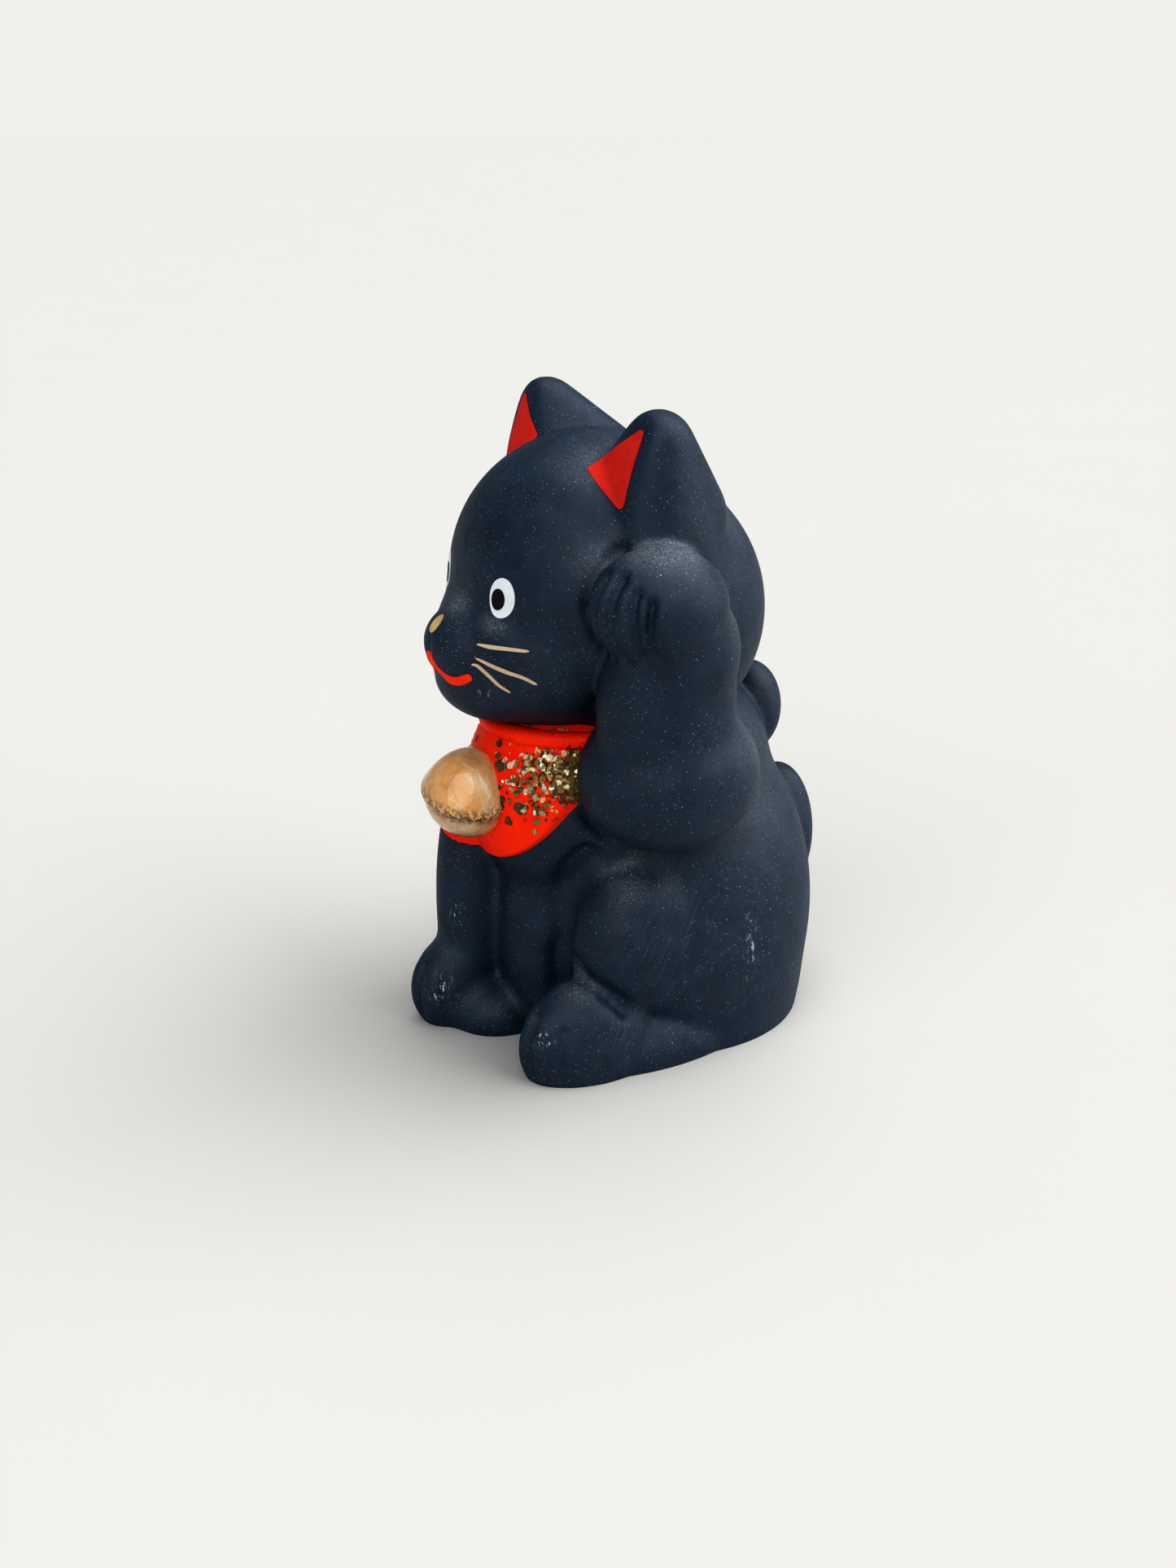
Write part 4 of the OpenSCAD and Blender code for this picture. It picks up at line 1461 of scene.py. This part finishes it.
    def stroke(self, path: Sequence[tuple[float, float, float]]) -> bpy.types.Object:
        """Draws one brush stroke as a flat ribbon in front of the face.

        Args:
            path: (x, z, width) of each step, in millimetres.

        Returns:
            The ribbon.
        """
        lanes = 5
        spots = [Vector((x, -40, z)) * MM for x, z, _ in path]
        Bench.clear()
        bpy.ops.mesh.primitive_grid_add(
            x_subdivisions=lanes - 1, y_subdivisions=len(spots) - 1, size=1.0, location=(0, 0, 0)
        )
        ribbon = bpy.context.object
        for vertex in ribbon.data.vertices:
            lane, index = vertex.index % lanes, vertex.index // lanes
            ahead = (spots[min(len(spots) - 1, index + 1)] - spots[max(0, index - 1)]).normalized()
            across = Vector((-ahead.z, 0, ahead.x))
            vertex.co = spots[index] + across * path[index][2] * MM * (lane / (lanes - 1) - 0.5)
        self.face_forward(ribbon)
        return ribbon

    def brush_widths(self, count: int, start: float, middle: float, end: float) -> list[float]:
        """Returns a stroke's width at each step, in millimetres, rounded off at both ends."""
        widths = []
        for step in range(count):
            share = step / (count - 1)
            body = start + (middle - start) * min(1.0, share * 3.0)
            body = body + (end - middle) * max(0.0, share * 2.0 - 1.0)
            cap = math.sqrt(max(0.02, 1.0 - (abs(2.0 * share - 1.0)) ** 14))
            widths.append(body * cap)
        return widths

    def mouth(self, red: bpy.types.Material) -> None:
        """Paints the mouth: two hanging bows that meet under the nose."""
        corners = ((0.0, 48.6), (0.5, 47.6), (1.0, 46.7), (2.0, 46.0), (3.3, 45.95), (4.4, 46.4), (5.2, 46.9))
        strokes = []
        for side in (1, -1):
            path = smooth_path([(side * x, z) for x, z in corners], 6)
            widths = self.brush_widths(len(path), 1.15, 1.05, 0.85)
            strokes.append(self.stroke([(x, z, w) for (x, z), w in zip(path, widths)]))
        Bench.join(strokes, "mouth_line")
        self.lay("mouth_line", red)

    def whiskers(self, gold: bpy.types.Material) -> None:
        """Paints three whiskers on each cheek."""
        lines = (
            ((5.7, 50.6), (7.3, 50.6), (9.3, 50.7), (11.1, 50.7)),
            ((5.8, 49.1), (7.5, 48.7), (9.4, 48.2), (10.8, 47.8), (11.7, 47.1)),
            ((5.4, 48.3), (6.1, 48.25), (7.4, 47.4), (8.3, 46.5), (9.2, 45.8)),
        )
        for side, sign in ((each.word, each.value) for each in Side):
            strokes = []
            for corners in lines:
                path = smooth_path([(sign * x, z) for x, z in corners], 5)
                widths = self.brush_widths(len(path), 0.2, 0.44, 0.3)
                strokes.append(self.stroke([(x, z, w) for (x, z), w in zip(path, widths)]))
            Bench.join(strokes, f"whiskers_{side}")
            self.lay(f"whiskers_{side}", gold)


# ---------------------------------------------------------------------------------------------
# Gold leaf
# ---------------------------------------------------------------------------------------------


@dataclass
class GoldLeaf:
    """Flakes of leaf on the bib: a thick crust at the sides and loose spots over the rest."""

    ground: bpy.types.Object
    seed: int = 7
    crust_count: int = 620
    spot_places: tuple[tuple[float, float, float], ...] = (
        (2.6, 37.6, 0.38), (-2.8, 36.6, 0.3), (1.7, 34.9, 0.5), (3.8, 35.5, 0.55), (5.0, 31.3, 0.5),
        (7.3, 31.3, 0.62), (8.9, 31.5, 0.45), (6.1, 29.5, 0.42), (6.0, 32.0, 0.2), (4.6, 33.2, 0.3),
        (-5.5, 33.0, 0.4), (-7.5, 29.6, 0.45), (-4.2, 28.0, 0.3), (-8.8, 31.5, 0.4),
    )
    piece: bpy.types.Object | None = None

    def chip(self, sides: int, thick: float) -> bpy.types.Object:
        """Models one chip of leaf of unit radius.

        Args:
            sides: Corners round it.
            thick: Thickness as a share of its radius.

        Returns:
            The chip, at the origin.
        """
        Bench.clear()
        bpy.ops.mesh.primitive_cylinder_add(vertices=sides, radius=1.0, depth=thick, location=(0, 0, 0))
        return bpy.context.object

    def drop(self, x: float, z: float) -> tuple[Vector, Vector] | None:
        """Finds the bib under a point of its front view.

        Args:
            x: Across, in millimetres.
            z: Up, in millimetres.

        Returns:
            The place and the normal there, in metres, or None beside the bib.
        """
        start = Vector((x, -30.0, z)) * MM
        hit, place, normal, _ = self.ground.ray_cast(start, Vector((0, 1, 0)), distance=0.03)
        return (place, normal) if hit else None

    def model(self) -> None:
        """Scatters the flakes and joins them."""
        draw = np.random.default_rng(self.seed)
        shapes = [self.chip(5, 0.16), self.chip(6, 0.14), self.chip(7, 0.12)]
        flakes: list[bpy.types.Object] = []
        tints: list[float] = []
        places: list[tuple[float, float, float, float]] = []
        while len(places) < self.crust_count:
            left = draw.random() < 0.8
            middle = (9.4, 36.4) if left else (-9.6, 36.2)
            spread = (2.3, 2.5) if left else (1.3, 2.0)
            x, z = middle[0] + draw.normal() * spread[0], middle[1] + draw.normal() * spread[1]
            if abs(x) < 2.2 or z > 40.0:
                continue
            places.append((x, z, draw.uniform(0.18, 0.5), 0.5))
        for x, z, radius in self.spot_places:
            for _ in range(7):
                places.append((x + draw.normal() * radius * 0.4, z + draw.normal() * radius * 0.4,
                               draw.uniform(0.7, 1.1) * radius, 0.12))
        for x, z, radius, tilt in places:
            found = self.drop(x, z)
            if found is None:
                continue
            place, normal = found
            lean = Vector((draw.normal(), draw.normal(), draw.normal())) * tilt
            facing = (normal + lean * 0.7).normalized()
            flake = shapes[int(draw.integers(len(shapes)))].copy()
            flake.data = flake.data.copy()
            turn = facing.to_track_quat("Z", "Y").to_matrix().to_4x4()
            spin = Matrix.Rotation(draw.uniform(0, 2 * math.pi), 4, "Z")
            size = Matrix.Diagonal((radius * MM, radius * MM * draw.uniform(0.5, 1.0), radius * MM, 1.0))
            lift = normal * MM * draw.uniform(0.02, 0.16 if tilt > 0.3 else 0.05)
            flake.data.transform(Matrix.Translation(place + lift) @ turn @ spin @ size)
            bpy.context.scene.collection.objects.link(flake)
            flakes.append(flake)
            tint = draw.beta(1.5, 1.3) if tilt > 0.3 else draw.uniform(0.0, 0.22)
            tints.extend([float(tint)] * len(flake.data.vertices))
        self.piece = Bench.join(flakes, "gold_leaf")
        paint_value(self.piece, "tint", np.array(tints))
        Bench.discard(*shapes)
        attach(self.piece, "root")
        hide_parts("gold_flecks")

    def finish(self, leaf: bpy.types.Material) -> None:
        """Dresses the flakes."""
        dress(self.piece, leaf)
        LOG.info("gold_flecks: %d faces", len(self.piece.data.polygons))


# ---------------------------------------------------------------------------------------------
# Stage, light and camera
# ---------------------------------------------------------------------------------------------


@dataclass
class Studio:
    """A wide plain pale floor under a pale sky, soft light and the camera."""

    floor_colour: Point = (0.50, 0.50, 0.492)
    sky_colour: Point = (0.530, 0.5275, 0.514)
    fill: float = 0.23
    eye: Point = (172.0, -90.5, 104.2)
    azimuth: float = 62.9
    elevation: float = 21.1
    focal_px: float = 2147.0
    frame_px: tuple[int, int] = (1445, 1927)
    sensor: float = 36.0
    floor_radius: float = 8.0

    def build_floor(self) -> None:
        """Lays the floor."""
        Bench.clear()
        bpy.ops.mesh.primitive_circle_add(
            vertices=128, radius=self.floor_radius, fill_type="TRIFAN", location=(0, 0, 0)
        )
        floor = Bench.settle("floor")
        dress(floor, PalePaper("floor_paper", self.floor_colour).build())

    def build_light(self) -> None:
        """Lights the room from three sides with broad soft light, under a pale sky."""
        world = bpy.data.worlds.new("room")
        world.use_nodes = True
        recipe = Recipe(world.node_tree)
        room = world.node_tree.nodes["Background"]
        room.inputs["Color"].default_value = (0.95, 0.98, 1.0, 1.0)
        room.inputs["Strength"].default_value = self.fill
        sky = recipe.node("ShaderNodeBackground", {"Color": (*self.sky_colour, 1.0), "Strength": 1.0})
        seen = recipe.node("ShaderNodeLightPath").outputs["Is Camera Ray"]
        blend = recipe.node("ShaderNodeMixShader", {0: seen, 1: room.outputs[0], 2: sky.outputs[0]})
        world.node_tree.links.new(blend.outputs[0], world.node_tree.nodes["World Output"].inputs["Surface"])
        bpy.context.scene.world = world
        self.lamp("top", (-0.05, 0.22, 0.80), 60, 1.1, (1.0, 0.99, 0.97))
        self.lamp("side", (0.30, 0.52, 0.40), 75, 1.9, (1.0, 0.98, 0.95))
        self.lamp("front", (0.40, -0.45, 0.42), 60, 1.05, (1.0, 0.99, 0.98))

    def lamp(self, name: str, at: Point, spread: float, power: float, colour: Point) -> None:
        """Hangs one broad far lamp that shines at the figure.

        Args:
            name: Name of the lamp.
            at: Where it hangs, seen from the figure.
            spread: How wide it looks from the figure, in degrees.
            power: Its power in watts on a square metre.
            colour: Its colour.
        """
        light = bpy.data.lights.new(name, "SUN")
        light.angle = math.radians(spread)
        light.energy = power
        light.color = colour
        lamp = bpy.data.objects.new(name, light)
        lamp.location = at
        lamp.rotation_euler = (-Vector(at)).to_track_quat("-Z", "Y").to_euler()
        bpy.context.scene.collection.objects.link(lamp)

    def build_camera(self) -> None:
        """Sets the camera."""
        scene = bpy.context.scene
        data = bpy.data.cameras.new("camera")
        data.sensor_width = self.sensor
        data.lens = self.focal_px * self.sensor / max(self.frame_px)
        data.clip_start = 0.005
        data.clip_end = 20.0
        camera = bpy.data.objects.new("camera", data)
        camera.location = Vector(self.eye) * MM
        camera.rotation_euler = (math.radians(90 - self.elevation), 0, math.radians(self.azimuth))
        scene.collection.objects.link(camera)
        scene.camera = camera
        scene.view_settings.view_transform = "Standard"
        scene.view_settings.look = "Very High Contrast"


def main() -> None:
    """Builds the figure, its paint and its stage."""
    logging.basicConfig(level=logging.INFO, format="%(name)s: %(message)s")
    clay = MattBlack().build()
    red = BrushedPaint("ear_red", (0.60, 0.050, 0.034), (0.50, 0.034, 0.024), 0.62).build()
    mouth_red = BrushedPaint("mouth_red", (0.85, 0.07, 0.014), (0.75, 0.05, 0.012), 0.5).build()
    cream = BrushedPaint("eye_cream", (0.72, 0.76, 0.78), (0.66, 0.70, 0.72), 0.6).build()
    black = BrushedPaint("pupil_black", (0.02, 0.024, 0.032), (0.012, 0.015, 0.02), 0.5).build()
    pale_gold = BrushedPaint("whisker_gold", (0.62, 0.50, 0.37), (0.52, 0.40, 0.28), 0.5).build()
    gold = BrushedPaint("nose_gold", (0.55, 0.42, 0.25), (0.42, 0.30, 0.16), 0.45).build()

    cat = ClayCat()
    cat.model()
    bib = Bib(cat)
    bib.model()
    bib.finish(BibRed().build())
    bell = Bell()
    bell.model()
    bell.finish(BellVarnish().build())
    leaf = GoldLeaf(bib.bib)
    leaf.model()
    leaf.finish(WornLeaf().build())

    face = FacePaint(cat.whole)
    face.eyes(cream, black)
    face.nose(gold)
    face.ears(red)
    face.mouth(mouth_red)
    face.whiskers(pale_gold)

    cat.split()
    cat.finish(clay)
    dress(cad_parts["base_plate"], clay)
    Bench.discard(cat.whole, cat.torso_form)

    studio = Studio()
    studio.build_floor()
    studio.build_light()
    studio.build_camera()


if __name__ == "__main__":
    main()
